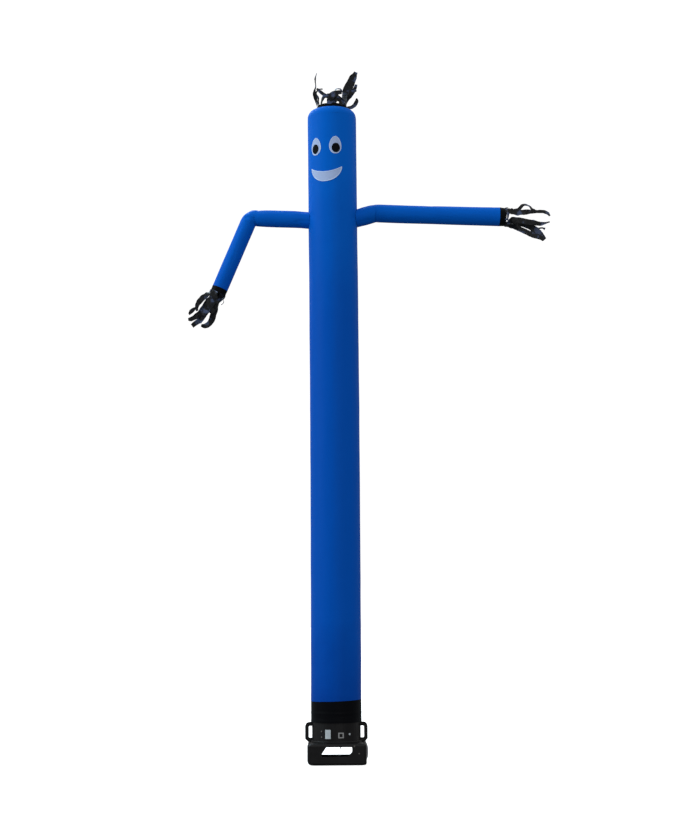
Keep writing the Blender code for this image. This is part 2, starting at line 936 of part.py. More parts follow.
def make_base(material):
    """The blower's moulded base: a hollow box with round edges, open below and at its deck."""
    low = BASE_MIDDLE - BASE_HALF_WIDTH
    high = BASE_MIDDLE + BASE_HALF_WIDTH
    heights = (0, 0.002, 0.006, 0.013, 0.022, 0.042, DECK - 0.022, DECK - 0.012, DECK - 0.004, DECK)
    outer = []
    for z in heights:
        left = low + edge_inset(z, BASE_LEFT_FOOT_EDGE, BASE_EDGE)
        inset = edge_inset(z, BASE_EDGE, BASE_EDGE)
        outer.append(box_ring(left, high - inset, BASE_HALF_DEPTH - inset, z))
    bore = COLLAR_RADIUS - COLLAR_WALL
    outer.append(deck_hole_ring(bore, DECK))
    foot_left, foot = BASE_LEFT_FOOT_EDGE + WALL, BASE_EDGE + WALL
    top = DECK - WALL
    inner = [
        box_ring(low + foot_left, high - foot, BASE_HALF_DEPTH - foot, 0),
        box_ring(low + WALL, high - WALL, BASE_HALF_DEPTH - WALL, BASE_LEFT_FOOT_EDGE),
        box_ring(low + WALL, high - WALL, BASE_HALF_DEPTH - WALL, top - 0.018),
        box_ring(low + 2.5 * WALL, high - 2.5 * WALL, BASE_HALF_DEPTH - 2.5 * WALL, top),
        deck_hole_ring(bore, top),
    ]
    return add_object("blower_base", shell(outer, inner), material, 30.0)


FRONT_WINDOW = (
    Corner(-0.134, 0.075, 0.010),
    Corner(0.100, 0.080, 0.014),
    Corner(0.140, 0.120, 0.020),
    Corner(0.140, 0.161, 0.008),
    Corner(-0.091, 0.161, 0.012),
    Corner(-0.136, 0.092, 0.008),
)
PLAIN_WINDOW = (
    Corner(-0.150, 0.050, 0.020),
    Corner(0.150, 0.050, 0.020),
    Corner(0.150, 0.162, 0.020),
    Corner(-0.150, 0.162, 0.020),
)


def cut_windows(base):
    """The four intake windows, one in each wall of the base."""
    near, far = 0.16, 0.30
    front = round_corners(FRONT_WINDOW)
    plain = round_corners(PLAIN_WINDOW)
    cut(base, extruded(front, facing_front, -far, -near))
    cut(base, extruded(plain, facing_front, near, far))
    cut(base, extruded(plain, facing_side, -far, -near))
    cut(base, extruded(plain, facing_side, near, far))


def make_pan(material):
    """The flat floor of the base, inside its rim."""
    inset = BASE_EDGE + WALL + GAP
    left = BASE_MIDDLE - BASE_HALF_WIDTH + BASE_LEFT_FOOT_EDGE + WALL + GAP
    right = BASE_MIDDLE + BASE_HALF_WIDTH - inset
    rings = [box_ring(left, right, BASE_HALF_DEPTH - inset, z) for z in (0, PAN)]
    return add_object("base_pan", loft(rings), material)


def make_collar(material):
    """The round duct that the sleeve slips over, with a foot flange and a bead at its lip."""
    bore = COLLAR_RADIUS - COLLAR_WALL
    foot = DECK + GAP
    bead = COLLAR_TOP - BEAD_HEIGHT
    profile = (
        (bore, foot),
        (FLANGE_RADIUS, foot),
        (FLANGE_RADIUS, FLANGE_TOP - 0.004),
        (FLANGE_RADIUS - 0.004, FLANGE_TOP),
        (COLLAR_RADIUS, FLANGE_TOP),
        (COLLAR_RADIUS, bead),
        (BEAD_RADIUS, bead + 0.004),
        (BEAD_RADIUS, COLLAR_TOP - 0.004),
        (COLLAR_RADIUS, COLLAR_TOP),
        (bore, COLLAR_TOP),
    )
    return add_object("blower_collar", lathe(profile, COLLAR_SIDES), material, 30.0)


def make_handles(material):
    """A C-shaped grip on each side, cut to sit against the collar and its flange."""
    low = DECK + GAP
    inner = 0.2
    slot_low, slot_high = low + HANDLE_ARM, HANDLE_TOP - HANDLE_ARM
    slot = HANDLE_REACH - HANDLE_BAR
    trim_profile = (
        (0.15, DECK - 0.02),
        (FLANGE_RADIUS + GAP, DECK - 0.02),
        (FLANGE_RADIUS + GAP, FLANGE_TOP + GAP),
        (COLLAR_RADIUS + GAP, FLANGE_TOP + GAP),
        (COLLAR_RADIUS + GAP, COLLAR_TOP),
        (0.15, COLLAR_TOP),
    )
    outline = round_corners(
        (
            Corner(inner, low, 0.001),
            Corner(HANDLE_REACH - HANDLE_CHAMFER, low, 0.008),
            Corner(HANDLE_REACH, low + HANDLE_CHAMFER, 0.012),
            Corner(HANDLE_REACH, HANDLE_TOP, HANDLE_CORNER),
            Corner(inner, HANDLE_TOP, 0.001),
            Corner(inner, slot_high, 0.001),
            Corner(slot, slot_high, 0.012),
            Corner(slot, slot_low, 0.008),
            Corner(inner, slot_low, 0.001),
        )
    )
    for word, side in (("left", -1), ("right", 1)):
        bm = extruded(
            [(side * x, z) for x, z in outline],
            facing_front,
            -HANDLE_HALF_DEPTH,
            HANDLE_HALF_DEPTH,
        )
        grip = add_object("handle_" + word, bm, material, 30.0)
        bevel = grip.modifiers.new("soft_edges", "BEVEL")
        bevel.width = HANDLE_EDGE
        bevel.segments = 2
        bevel.limit_method = "ANGLE"
        bevel.angle_limit = math.radians(40)
        cut(grip, lathe(trim_profile, COLLAR_SIDES * 2))


def make_panel_pieces(plate, pale, metal, dark):
    """What is fitted to the front of the collar: rating plate, power inlet, lamp, screws."""
    skin = COLLAR_RADIUS + GAP
    wall_patch("rating_plate", skin, 0.0015, -19.9, 6.8, plate_edges(0.231, 0.311), plate, 4)
    inlet = wall_patch("power_inlet", skin, 0.006, 10.9, 6.5, plate_edges(0.237, 0.286), pale, 4)
    pocket = [(0.028, 0.246), (0.056, 0.246), (0.056, 0.277), (0.028, 0.277)]
    pocket = round_corners([Corner(x, z, 0.003) for x, z in pocket], 2)
    cut(inlet, extruded(pocket, facing_front, -0.30, -COLLAR_RADIUS + 0.012))
    wall_patch("inlet_core", skin, 0.001, 10.9, 2.6, plate_edges(0.252, 0.271), dark, 2)
    stud("panel_lamp", (0.118, 0.270), 0.0085, 0.006, plate)
    stud("panel_screw_high", (-0.131, 0.293), 0.008, 0.004, metal)
    stud("panel_screw_low", (-0.131, 0.244), 0.008, 0.004, metal)


def stud(name, place, radius, height, material):
    """A round-headed piece on the collar, square to the wall under it."""
    x, z = place
    wall = COLLAR_RADIUS + GAP
    out = Vector((x, -math.sqrt(wall**2 - x * x), 0)).normalized()
    side = Vector((-out.y, out.x, 0))
    foot = out * (wall + 0.0003)
    up = Vector((0, 0, 1))
    rings = []
    for reach, share in ((0.0, 1.0), (0.55, 1.0), (0.9, 0.7), (1.0, 0.35)):
        centre = Vector((foot.x, foot.y, z)) + out * height * reach
        rings.append(circle(centre, radius * share, side, up, 12))
    return add_object(name, loft(rings), material)


def make_front_pieces(material, metal):
    """Two screw heads and a short rib on the front wall of the base."""
    face = -BASE_HALF_DEPTH - GAP
    x, z = Vector((1, 0, 0)), Vector((0, 0, 1))
    for word, place in (("high", (0.160, 0.167)), ("low", (0.203, 0.103))):
        rings = []
        for depth, radius in ((0.0, 0.0075), (0.002, 0.0075), (0.0035, 0.004)):
            centre = Vector((place[0], face - depth, place[1]))
            rings.append(circle(centre, radius, x, z, 12))
        add_object("base_screw_" + word, loft(rings), metal)
    outline = ((0.033, 0.146), (0.040, 0.146), (0.040, 0.168), (0.033, 0.168))
    bm = extruded(outline, facing_front, face - 0.004, face)
    return add_object("window_rib", bm, material)


def domed_sheet(wall):
    """The guard before its slots: a sheet that bulges from the wall, flat at its rim."""
    columns, rows = 16, 10
    middle = (GUARD_LOW + GUARD_HIGH) / 2
    half_high = (GUARD_HIGH - GUARD_LOW) / 2
    bm = bmesh.new()
    skins = []
    for lift in (0.0, GUARD_SHEET):
        grid = []
        for i in range(columns + 1):
            u = 2 * i / columns - 1
            line = []
            for j in range(rows + 1):
                v = 2 * j / rows - 1
                dome = GUARD_BULGE * (1 - u**4) * (1 - v**4)
                point = (wall + lift + dome, GUARD_HALF_WIDTH * u, middle + half_high * v)
                line.append(bm.verts.new(point))
            grid.append(line)
        skins.append(grid)
    for grid in skins:
        for low, high in zip(grid, grid[1:]):
            for j in range(rows):
                bm.faces.new((low[j], high[j], high[j + 1], low[j + 1]))
    rim = [(i, 0) for i in range(columns)] + [(columns, j) for j in range(rows)]
    rim += [(i, rows) for i in range(columns, 0, -1)] + [(0, j) for j in range(rows, 0, -1)]
    near, far = skins
    for (a, b), (c, d) in zip(rim, rim[1:] + rim[:1]):
        bm.faces.new((near[a][b], near[c][d], far[c][d], far[a][b]))
    return bm


def make_side_guard(material):
    """A domed slotted guard over the intake on the +X side."""
    wall = BASE_MIDDLE + BASE_HALF_WIDTH + GAP
    middle = (GUARD_LOW + GUARD_HIGH) / 2
    guard = add_object("side_guard", domed_sheet(wall), material)
    for k in range(-3, 4):
        low = middle + k * SLOT_PITCH - SLOT_HEIGHT / 2
        high = low + SLOT_HEIGHT
        ends = (-SLOT_HALF_WIDTH, SLOT_HALF_WIDTH)
        outline = ((ends[0], low), (ends[1], low), (ends[1], high), (ends[0], high))
        cut(guard, extruded(outline, facing_side, wall - 0.02, wall + 0.04))
    return guard


def main():
    clear_scene()
    blue = painted("blue_tube_cloth", BLUE_CLOTH)
    black = painted("black_tube_cloth", BLACK_CLOTH)
    streamer = painted("streamer_cloth", STREAMER_CLOTH)
    white_patch = painted("white_patch_cloth", WHITE_PATCH)
    black_patch = painted("black_patch_cloth", BLACK_PATCH)
    plastic = painted("black_moulded_plastic", BLACK_PLASTIC)
    grey = painted("grey_plastic", GREY_PLASTIC)
    plate = painted("pale_plate", PLATE_PAINT)
    wire = painted("grey_guard", WIRE_PAINT)
    steel = painted("screw_steel", STEEL)

    make_body_tube(blue)
    make_sleeve(black)
    make_crown(blue)
    make_vent_band(black)
    make_face(white_patch, black_patch)

    runs = directions(RIGHT_ARM)
    make_arm("arm_right", 1, (RIGHT_ROOT_HEIGHT, 0.0845), RIGHT_ARM, runs, blue)
    make_cuff("cuff_right", RIGHT_ARM[-1], RIGHT_CUFF_END, runs[-1], black)
    stations, left_runs = left_arm_path()
    make_arm("arm_left", -1, (LEFT_ROOT_HEIGHT, 0.078), stations, left_runs, blue)
    wrist, back = stations[-1], left_runs[-1]
    cuff_end = Station(wrist.x - back.x * CUFF_LENGTH, wrist.z - back.z * CUFF_LENGTH, wrist.radius)
    make_cuff("cuff_left", wrist, cuff_end, back, black)

    head = Vector((tube_middle(CROWN_SEAM), 0, CROWN_TOP + BAND_HEIGHT))
    make_streamers(HEAD_STREAMERS, head, Vector((0, 0, 1)), BAND_RADIUS, streamer)
    hand = Vector((RIGHT_CUFF_END.x, 0, RIGHT_CUFF_END.z))
    make_streamers(RIGHT_STREAMERS, hand, runs[-1], RIGHT_CUFF_END.radius, streamer)
    hand = Vector((cuff_end.x, 0, cuff_end.z))
    make_streamers(LEFT_STREAMERS, hand, -back, cuff_end.radius, streamer)

    base = make_base(plastic)
    cut_windows(base)
    make_pan(plastic)
    make_collar(plastic)
    make_handles(plastic)
    make_panel_pieces(plate, grey, steel, plastic)
    make_front_pieces(plastic, steel)
    make_side_guard(wire)


main()
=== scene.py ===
"""Inflatable air dancer on its blower: the cloth, the streamers and the finishes.

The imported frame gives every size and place. The cloth pieces are rebuilt here as thin sheets
with their seams and creases, and the blower's pieces get finished surfaces.
"""

import math

import bmesh
import bpy
from bpy.props import FloatProperty, FloatVectorProperty, PointerProperty
from bpy.types import Operator, Panel, PropertyGroup
from collections import namedtuple
from mathutils import Matrix, Vector, noise


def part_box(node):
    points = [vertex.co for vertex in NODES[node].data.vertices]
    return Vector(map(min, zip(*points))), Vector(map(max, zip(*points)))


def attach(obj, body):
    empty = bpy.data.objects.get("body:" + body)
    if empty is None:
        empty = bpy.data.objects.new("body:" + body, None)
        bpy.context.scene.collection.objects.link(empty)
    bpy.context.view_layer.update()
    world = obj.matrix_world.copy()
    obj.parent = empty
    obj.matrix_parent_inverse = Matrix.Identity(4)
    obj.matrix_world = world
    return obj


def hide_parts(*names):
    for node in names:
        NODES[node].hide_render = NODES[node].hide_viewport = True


bl_info = {
    "name": "Air Dancer",
    "version": (1, 0, 0),
    "blender": (4, 5, 0),
    "location": "View3D > Sidebar > Air Dancer",
    "description": "Rebuilds an inflatable air dancer's cloth, face, streamers and blower",
    "category": "Object",
}

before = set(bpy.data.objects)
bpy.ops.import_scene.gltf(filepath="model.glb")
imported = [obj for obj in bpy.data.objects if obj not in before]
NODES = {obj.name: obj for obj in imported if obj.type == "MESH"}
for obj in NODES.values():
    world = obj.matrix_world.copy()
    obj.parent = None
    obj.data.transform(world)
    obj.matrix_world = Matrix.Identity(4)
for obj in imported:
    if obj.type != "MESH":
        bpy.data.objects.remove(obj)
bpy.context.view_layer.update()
UP = Vector((0, 0, 1))
FRONT = Vector((0, -1, 0))


# ---------------------------------------------------------------- sizes read from the frame


def span(node, axis):
    """A node's lowest and highest place along an axis."""
    low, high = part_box(node)
    return low[axis], high[axis]


SLEEVE_LOW = span("blower_sleeve", 2)[0]
TUBE_RADIUS = span("body_tube", 1)[1]
CROWN_SEAM, CROWN_TOP = span("crown_panel", 2)
BAND_RADIUS = span("vent_band", 1)[1]
CLOTH = 0.0012  # drawn thicker than the real cloth, so that its faces stay apart
BOW = 0.0055  # the tube's gentle sideways curve
BOW_SPAN = 4.7
SEAM_HEIGHT = 0.5605  # black sleeve to blue tube, at the tube's middle
SEAM_SLOPE = 0.033  # the seam climbs towards +X
RIGHT_ROOT = 5.0165  # height of each arm's root on the tube
LEFT_ROOT = 4.999
ARM_HOLE = 0.070  # radius of the tube's opening into each arm


# ---------------------------------------------------------------- settings


def linear(code):
    """An sRGB hex colour such as "1A2B3C" as linear red, green and blue."""
    parts = [int(code[k : k + 2], 16) / 255 for k in (0, 2, 4)]
    return [p / 12.92 if p <= 0.04045 else ((p + 0.055) / 1.055) ** 2.4 for p in parts]


def colour_setting(name, code, description):
    return FloatVectorProperty(
        name=name, description=description, subtype="COLOR", size=3, min=0, max=1, default=linear(code)
    )


def length_setting(name, metres, description):
    return FloatProperty(name=name, description=description, default=metres, min=0, unit="LENGTH")


class AirDancerCloth(PropertyGroup):
    """Colours and sizes of the tube, the arms and the streamers."""

    # the blues run lighter at the head and darker towards the foot: painted light and painted shade over the
    # cloth's own blue
    blue: colour_setting("Tube Blue", "0060C8", "Colour of the tube at its head")
    middle_blue: colour_setting("Middle Blue", "0050B4", "Colour of the tube halfway down")
    painted_shade_blue: colour_setting("Foot Blue", "003B96", "Colour that the tube deepens to at its foot")
    black: colour_setting("Band Black", "08090C", "Colour of the sleeve, the bands and the cuffs")
    streamer: colour_setting("Streamer Black", "0A0E17", "Colour of the streamers")
    ripple: length_setting("Ripple", 0.0016, "How far the blown cloth waves in and out")
    crumple: length_setting("Crumple", 0.0050, "How far the streamers crumple")
    ripstop: length_setting("Ripstop Grid", 0.008, "Distance between the ripstop threads")


class AirDancerFace(PropertyGroup):
    """Colours of the sewn-on face."""

    # the white cloth is given a greyed blue, darker than white: painted shade over the patches' own white
    white: colour_setting("White Cloth", "9FB4DE", "Colour of the eyes and the smile")
    # the rim is a real stitched cord, and its colour, paler than the white cloth, is a painted edge highlight
    rim: colour_setting("Stitched Rim", "BCD2F4", "Colour of the stitched edge of each white patch")
    pupil: colour_setting("Pupil Cloth", "05070C", "Colour of the pupils")


class AirDancerBlower(PropertyGroup):
    """Colours of the blower."""

    plastic: colour_setting("Moulded Black", "070709", "Colour of the base, the collar and the handles")
    plate: colour_setting("Blank Plate", "B9C3C9", "Colour of the blank plate and the lamp")
    fitting: colour_setting("Inlet Grey", "8A8C8D", "Colour of the power inlet's ring")
    guard: colour_setting("Guard Grey", "84868A", "Colour of the side guard")


class AirDancerStage(PropertyGroup):
    """The studio: lights, floor and camera."""

    key: FloatProperty(
        name="Key Light", description="Power of the large light on the left", default=880, min=0, unit="POWER"
    )
    fill: FloatProperty(
        name="Fill Light", description="Power of the light in front", default=300, min=0, unit="POWER"
    )
    rim: FloatProperty(
        name="Rim Light",
        description="Power of the cool light above and behind",
        default=600,
        min=0,
        unit="POWER",
    )
    air: FloatProperty(name="Soft Air", description="Brightness of the even light", default=0.66, min=0)
    backdrop: FloatProperty(
        name="Backdrop", description="Brightness of the white backdrop", default=1.05, min=0
    )
    lens: FloatProperty(
        name="Lens", description="Focal length of the camera", default=68.69, min=1, unit="CAMERA"
    )


# ---------------------------------------------------------------- meshes


def finish_piece(name, bm, material, stands_for, smooth_below=40.0):
    """Turn a bmesh into a piece that rides on the object and stands for CAD nodes."""
    bmesh.ops.recalc_face_normals(bm, faces=bm.faces[:])
    if bm.calc_volume(signed=True) < 0:
        bmesh.ops.reverse_faces(bm, faces=bm.faces[:])
    mesh = bpy.data.meshes.new(name)
    bm.to_mesh(mesh)
    bm.free()
    mesh.shade_smooth()
    mesh.set_sharp_from_angle(angle=math.radians(smooth_below))
    piece = bpy.data.objects.new(name, mesh)
    bpy.context.scene.collection.objects.link(piece)
    mesh.materials.append(material)
    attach(piece, "root")
    if stands_for:
        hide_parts(*stands_for)
    return piece


def loft(rings, joined=False):
    """Skin a row of equal closed rings. The ends are capped, or joined to each other."""
    bm = bmesh.new()
    rows = [[bm.verts.new(point) for point in ring] for ring in rings]
    pairs = list(zip(rows, rows[1:]))
    if joined:
        pairs.append((rows[-1], rows[0]))
    else:
        bm.faces.new(rows[0])
        bm.faces.new(rows[-1])
    count = len(rows[0])
    for low, high in pairs:
        for k in range(count):
            n = (k + 1) % count
            bm.faces.new((low[k], low[n], high[n], high[k]))
    return bm


def steps(start, end, pitch):
    """Evenly spaced numbers from start to end, about pitch apart."""
    count = max(1, round(abs(end - start) / pitch))
    return [start + (end - start) * k / count for k in range(count + 1)]


Station = namedtuple("Station", "place run radius along")
Crease = namedtuple("Crease", "along turn lean length width depth")


def crease_depth(creases, along, turn, radius):
    """How far the listed creases push a point in (or out, where depth is negative).

    A crease is a soft line on the cloth. along and turn (degrees) give its middle, lean is 0
    round the tube and 90 along it, and the rest are metres.
    """
    depth = 0.0
    for crease in creases:
        off = (turn - crease.turn + 180) % 360 - 180
        across = math.radians(off) * radius
        up = along - crease.along
        lean = math.radians(crease.lean)
        run = across * math.cos(lean) + up * math.sin(lean)
        aside = up * math.cos(lean) - across * math.sin(lean)
        share = run / (crease.length / 2)
        if abs(share) < 1 and abs(aside) < crease.width * 3:
            depth += crease.depth * (1 - share * share) ** 2 * math.exp(-((aside / crease.width) ** 2))
    return depth


def cloth_ring(station, sides, creases, ripple, inset, seed):
    """One ring of blown cloth: round, with creases and a slow ripple."""
    side = FRONT.cross(station.run).normalized()
    ring = []
    for k in range(sides):
        turn = 360 * k / sides
        out = FRONT * math.cos(math.radians(turn)) + side * math.sin(math.radians(turn))
        wave = noise.noise(Vector((out.x * 2.2 + seed, out.z * 2.2 + out.y, station.along * 2.6)))
        fine = noise.noise(Vector((out.x * 6 + seed, out.y * 6, out.z * 6 + station.along * 7.0)))
        push = ripple * (wave + 0.35 * fine)
        push -= crease_depth(creases, station.along, turn, station.radius)
        ring.append(station.place + out * (station.radius + push - inset))
    return ring


def cloth_tube(stations, sides, creases, ripple, seed, first=None):
    """A closed thin wall round a row of stations. first(inset) may give the first ring."""
    faces = []
    for inset in (0.0, CLOTH):
        rings = [cloth_ring(s, sides, creases, ripple, inset, seed) for s in stations]
        if first:
            rings.insert(0, first(inset))
        faces.append(rings)
    outer, inner = faces
    return loft(outer + inner[::-1], joined=True)


def tube_middle(height):
    return BOW * math.sin(math.pi * max(height - SEAM_HEIGHT, 0.0) / BOW_SPAN)


# ---------------------------------------------------------------- materials


def add_node(tree, kind, settings=(), inputs=()):
    """Add a shader node. settings are its properties, inputs are values or output sockets."""
    item = tree.nodes.new(kind)
    for name, value in dict(settings).items():
        setattr(item, name, value)
    for key, value in dict(inputs).items():
        if isinstance(value, bpy.types.NodeSocket):
            tree.links.new(value, item.inputs[key])
        else:
            item.inputs[key].default_value = value
    return item


def new_material(name, roughness, sheen=0.0, coat=0.0, metallic=0.0, level=0.5):
    """A named material, its tree, and its shader with the values that are even all over."""
    material = bpy.data.materials.new(name)
    material.use_nodes = True
    tree = material.node_tree
    shader = tree.nodes["Principled BSDF"]
    shader.inputs["Roughness"].default_value = roughness
    shader.inputs["Sheen Weight"].default_value = sheen
    shader.inputs["Coat Weight"].default_value = coat
    shader.inputs["Metallic"].default_value = metallic
    shader.inputs["Specular IOR Level"].default_value = level
    return material, tree, shader


def ramp(tree, value, stops):
    """A colour ramp through (position, colour) stops."""
    item = add_node(tree, "ShaderNodeValToRGB", inputs={"Fac": value})
    elements = item.color_ramp.elements
    while len(elements) < len(stops):
        elements.new(0.5)
    for element, (position, colour) in zip(elements, stops):
        element.position = position
        element.color = (*colour, 1.0)
    return item.outputs["Color"]


def grey(value):
    return (value, value, value)


def shaded(colour, share):
    return [c * share for c in colour]


def ripstop_height(tree, place, pitch):
    """Ripstop: thick threads every pitch both ways, over a plain weave."""
    lines = []
    for direction in ("X", "Z"):
        wave = add_node(
            tree,
            "ShaderNodeTexWave",
            {"bands_direction": direction, "wave_profile": "SIN"},
            {"Vector": place, "Scale": math.pi / (10 * pitch), "Distortion": 0.3},
        )
        line = add_node(tree, "ShaderNodeMath", {"operation": "POWER"}, {0: wave.outputs["Fac"], 1: 10.0})
        lines.append(line.outputs[0])
    both = add_node(tree, "ShaderNodeMath", {"operation": "MAXIMUM"}, {0: lines[0], 1: lines[1]})
    return both.outputs[0]


def coated_nylon(name, colours, pitch, roughness=0.5, sheen=0.03, low=0.0, high=6.0):
    """PU-coated ripstop nylon, woven: a smooth, slightly shiny cloth with a fine square grid.

    colours run from the foot to the head, and their change with height is painted light:
    lighter at the head, darker at the foot as painted shade. The grid's real pitch is 5 to 8 mm
    with threads of 0.3 mm, and the threads are drawn about 1 mm wide so that they show.
    """
    material, tree, shader = new_material(name, roughness, sheen=sheen, level=0.03)
    shader.inputs["Sheen Tint"].default_value = (0.35, 0.75, 1.0, 1.0)
    shader.inputs["Sheen Roughness"].default_value = 0.4
    place = add_node(tree, "ShaderNodeTexCoord").outputs["Object"]
    split = add_node(tree, "ShaderNodeSeparateXYZ", inputs={"Vector": place})
    # the colour follows height: painted shade at the foot, painted light at the head
    height = add_node(
        tree, "ShaderNodeMapRange", inputs={"Value": split.outputs["Z"], "From Min": low, "From Max": high}
    )
    blotch = add_node(tree, "ShaderNodeTexNoise", inputs={"Vector": place, "Scale": 2.6, "Detail": 3.0})
    mixed = add_node(
        tree,
        "ShaderNodeMath",
        {"operation": "MULTIPLY_ADD"},
        {0: blotch.outputs["Fac"], 1: 0.16, 2: height.outputs["Result"]},
    )
    base = ramp(tree, mixed.outputs[0], colours)
    grid = ripstop_height(tree, place, pitch)
    tint = add_node(
        tree,
        "ShaderNodeMixRGB",
        {"blend_type": "MULTIPLY"},
        {"Fac": grid, "Color1": base, "Color2": (0.86, 0.88, 0.92, 1.0)},
    )
    tree.links.new(tint.outputs["Color"], shader.inputs["Base Color"])
    sag = add_node(tree, "ShaderNodeTexNoise", inputs={"Vector": place, "Scale": 9.0, "Detail": 4.0})
    soft = add_node(
        tree, "ShaderNodeBump", inputs={"Height": sag.outputs["Fac"], "Strength": 0.25, "Distance": 0.006}
    )
    threads = add_node(
        tree,
        "ShaderNodeBump",
        inputs={"Height": grid, "Strength": 0.3, "Distance": 0.0005, "Normal": soft.outputs["Normal"]},
    )
    tree.links.new(threads.outputs["Normal"], shader.inputs["Normal"])
    return material


def streamer_nylon(colour, pitch):
    """Thin uncoated nylon, cut hot: crumpled and glossy on its folds, dull in between, with pale blue-grey
    patches painted into its colour as highlights.
    """
    material, tree, shader = new_material("streamer_nylon_crumpled", 0.25, level=0.2)
    place = add_node(tree, "ShaderNodeTexCoord").outputs["Object"]
    crumple = add_node(tree, "ShaderNodeTexVoronoi", {"feature": "F1"}, {"Vector": place, "Scale": 26.0})
    grain = add_node(tree, "ShaderNodeTexNoise", inputs={"Vector": place, "Scale": 14.0, "Detail": 4.0})
    # the top stop's pale blue-grey patches are painted highlights and reflections; the lower stops are the
    # cloth's own black
    base = ramp(
        tree,
        grain.outputs["Fac"],
        [(0.44, shaded(colour, 0.3)), (0.53, shaded(colour, 0.8)), (0.60, shaded(colour, 16.0))],
    )
    tree.links.new(base, shader.inputs["Base Color"])
    gloss = ramp(tree, grain.outputs["Fac"], [(0.35, grey(0.5)), (0.7, grey(0.24))])
    tree.links.new(gloss, shader.inputs["Roughness"])
    folds = add_node(
        tree,
        "ShaderNodeBump",
        inputs={"Height": crumple.outputs["Distance"], "Strength": 0.5, "Distance": 0.012},
    )
    threads = add_node(
        tree,
        "ShaderNodeBump",
        inputs={
            "Height": ripstop_height(tree, place, pitch),
            "Strength": 0.25,
            "Distance": 0.0005,
            "Normal": folds.outputs["Normal"],
        },
    )
    tree.links.new(threads.outputs["Normal"], shader.inputs["Normal"])
    return material


def applique(name, colour, roughness=0.7, sheen=0.3, level=0.5):
    """Matte polyester applique, felt-like: even colour with a faint brushed nap."""
    material, tree, shader = new_material(name, roughness, sheen=sheen, level=level)
    place = add_node(tree, "ShaderNodeTexCoord").outputs["Object"]
    nap = add_node(tree, "ShaderNodeTexNoise", inputs={"Vector": place, "Scale": 180.0, "Detail": 5.0})
    base = ramp(tree, nap.outputs["Fac"], [(0.3, shaded(colour, 0.9)), (0.7, colour)])
    tree.links.new(base, shader.inputs["Base Color"])
    bump = add_node(
        tree, "ShaderNodeBump", inputs={"Height": nap.outputs["Fac"], "Strength": 0.3, "Distance": 0.0008}
    )
    tree.links.new(bump.outputs["Normal"], shader.inputs["Normal"])
    return material


def moulded_plastic(name, colour, roughness=0.42, grain=0.4, wear=2.2):
    """ABS, rotation moulded: satin, with a fine pebble grain and pale scuffs.

    The pebbles are 0.5 mm on the real one and are drawn 2 mm wide so that they show.
    """
    material, tree, shader = new_material(name, roughness, level=0.2)
    place = add_node(tree, "ShaderNodeTexCoord").outputs["Object"]
    pebble = add_node(tree, "ShaderNodeTexNoise", inputs={"Vector": place, "Scale": 500.0, "Detail": 2.0})
    dust = add_node(tree, "ShaderNodeTexNoise", inputs={"Vector": place, "Scale": 11.0, "Detail": 6.0})
    base = ramp(
        tree,
        dust.outputs["Fac"],
        [(0.3, shaded(colour, 0.8)), (0.55, colour), (0.75, shaded(colour, wear))],
    )
    tree.links.new(base, shader.inputs["Base Color"])
    gloss = [(0.3, grey(roughness - 0.08)), (0.7, grey(roughness + 0.14))]
    tree.links.new(ramp(tree, dust.outputs["Fac"], gloss), shader.inputs["Roughness"])
    bump = add_node(
        tree,
        "ShaderNodeBump",
        inputs={"Height": pebble.outputs["Fac"], "Strength": grain, "Distance": 0.0006},
    )
    tree.links.new(bump.outputs["Normal"], shader.inputs["Normal"])
    return material


def zinc_steel():
    """Zinc-plated steel, turned: pale grey metal with a soft brushed streak."""
    material, tree, shader = new_material("zinc_plated_steel", 0.35, metallic=1.0)
    place = add_node(tree, "ShaderNodeTexCoord").outputs["Object"]
    streak = add_node(tree, "ShaderNodeTexNoise", inputs={"Vector": place, "Scale": 240.0, "Detail": 4.0})
    base = ramp(tree, streak.outputs["Fac"], [(0.3, linear("4A4846")), (0.7, linear("6E6C69"))])
    tree.links.new(base, shader.inputs["Base Color"])
    return material


def painted_guard(colour):
    """Steel sheet, powder coated: a fine orange peel and dull grey gloss."""
    material, tree, shader = new_material("powder_coated_guard", 0.45, coat=0.15)
    place = add_node(tree, "ShaderNodeTexCoord").outputs["Object"]
    peel = add_node(tree, "ShaderNodeTexNoise", inputs={"Vector": place, "Scale": 320.0, "Detail": 2.0})
    dust = add_node(tree, "ShaderNodeTexNoise", inputs={"Vector": place, "Scale": 22.0, "Detail": 5.0})
    base = ramp(tree, dust.outputs["Fac"], [(0.3, shaded(colour, 0.7)), (0.7, colour)])
    tree.links.new(base, shader.inputs["Base Color"])
    bump = add_node(
        tree, "ShaderNodeBump", inputs={"Height": peel.outputs["Fac"], "Strength": 0.2, "Distance": 0.0004}
    )
    tree.links.new(bump.outputs["Normal"], shader.inputs["Normal"])
    return material


def material_of(name, make):
    """The named material, made on first use."""
    return bpy.data.materials.get(name) or make()


def blue_cloth():
    cloth = bpy.context.scene.air_dancer_cloth
    # the foot stop is painted shade and the head stop is painted light, over the cloth's own blue
    colours = [
        (0.12, list(cloth.painted_shade_blue)),
        (0.30, list(cloth.middle_blue)),
        (0.75, list(cloth.middle_blue)),
        (1.00, list(cloth.blue)),
    ]
    name = "coated_ripstop_blue"
    return material_of(name, lambda: coated_nylon(name, colours, cloth.ripstop))


def black_cloth():
    cloth = bpy.context.scene.air_dancer_cloth
    # the black is painted 1.3 times lighter at the head than at the foot: painted light, as on the blue tube
    colours = [(0.0, list(cloth.black)), (1.0, shaded(cloth.black, 1.3))]
    name = "coated_ripstop_black"
    return material_of(name, lambda: coated_nylon(name, colours, cloth.ripstop))


# ---------------------------------------------------------------- the tube

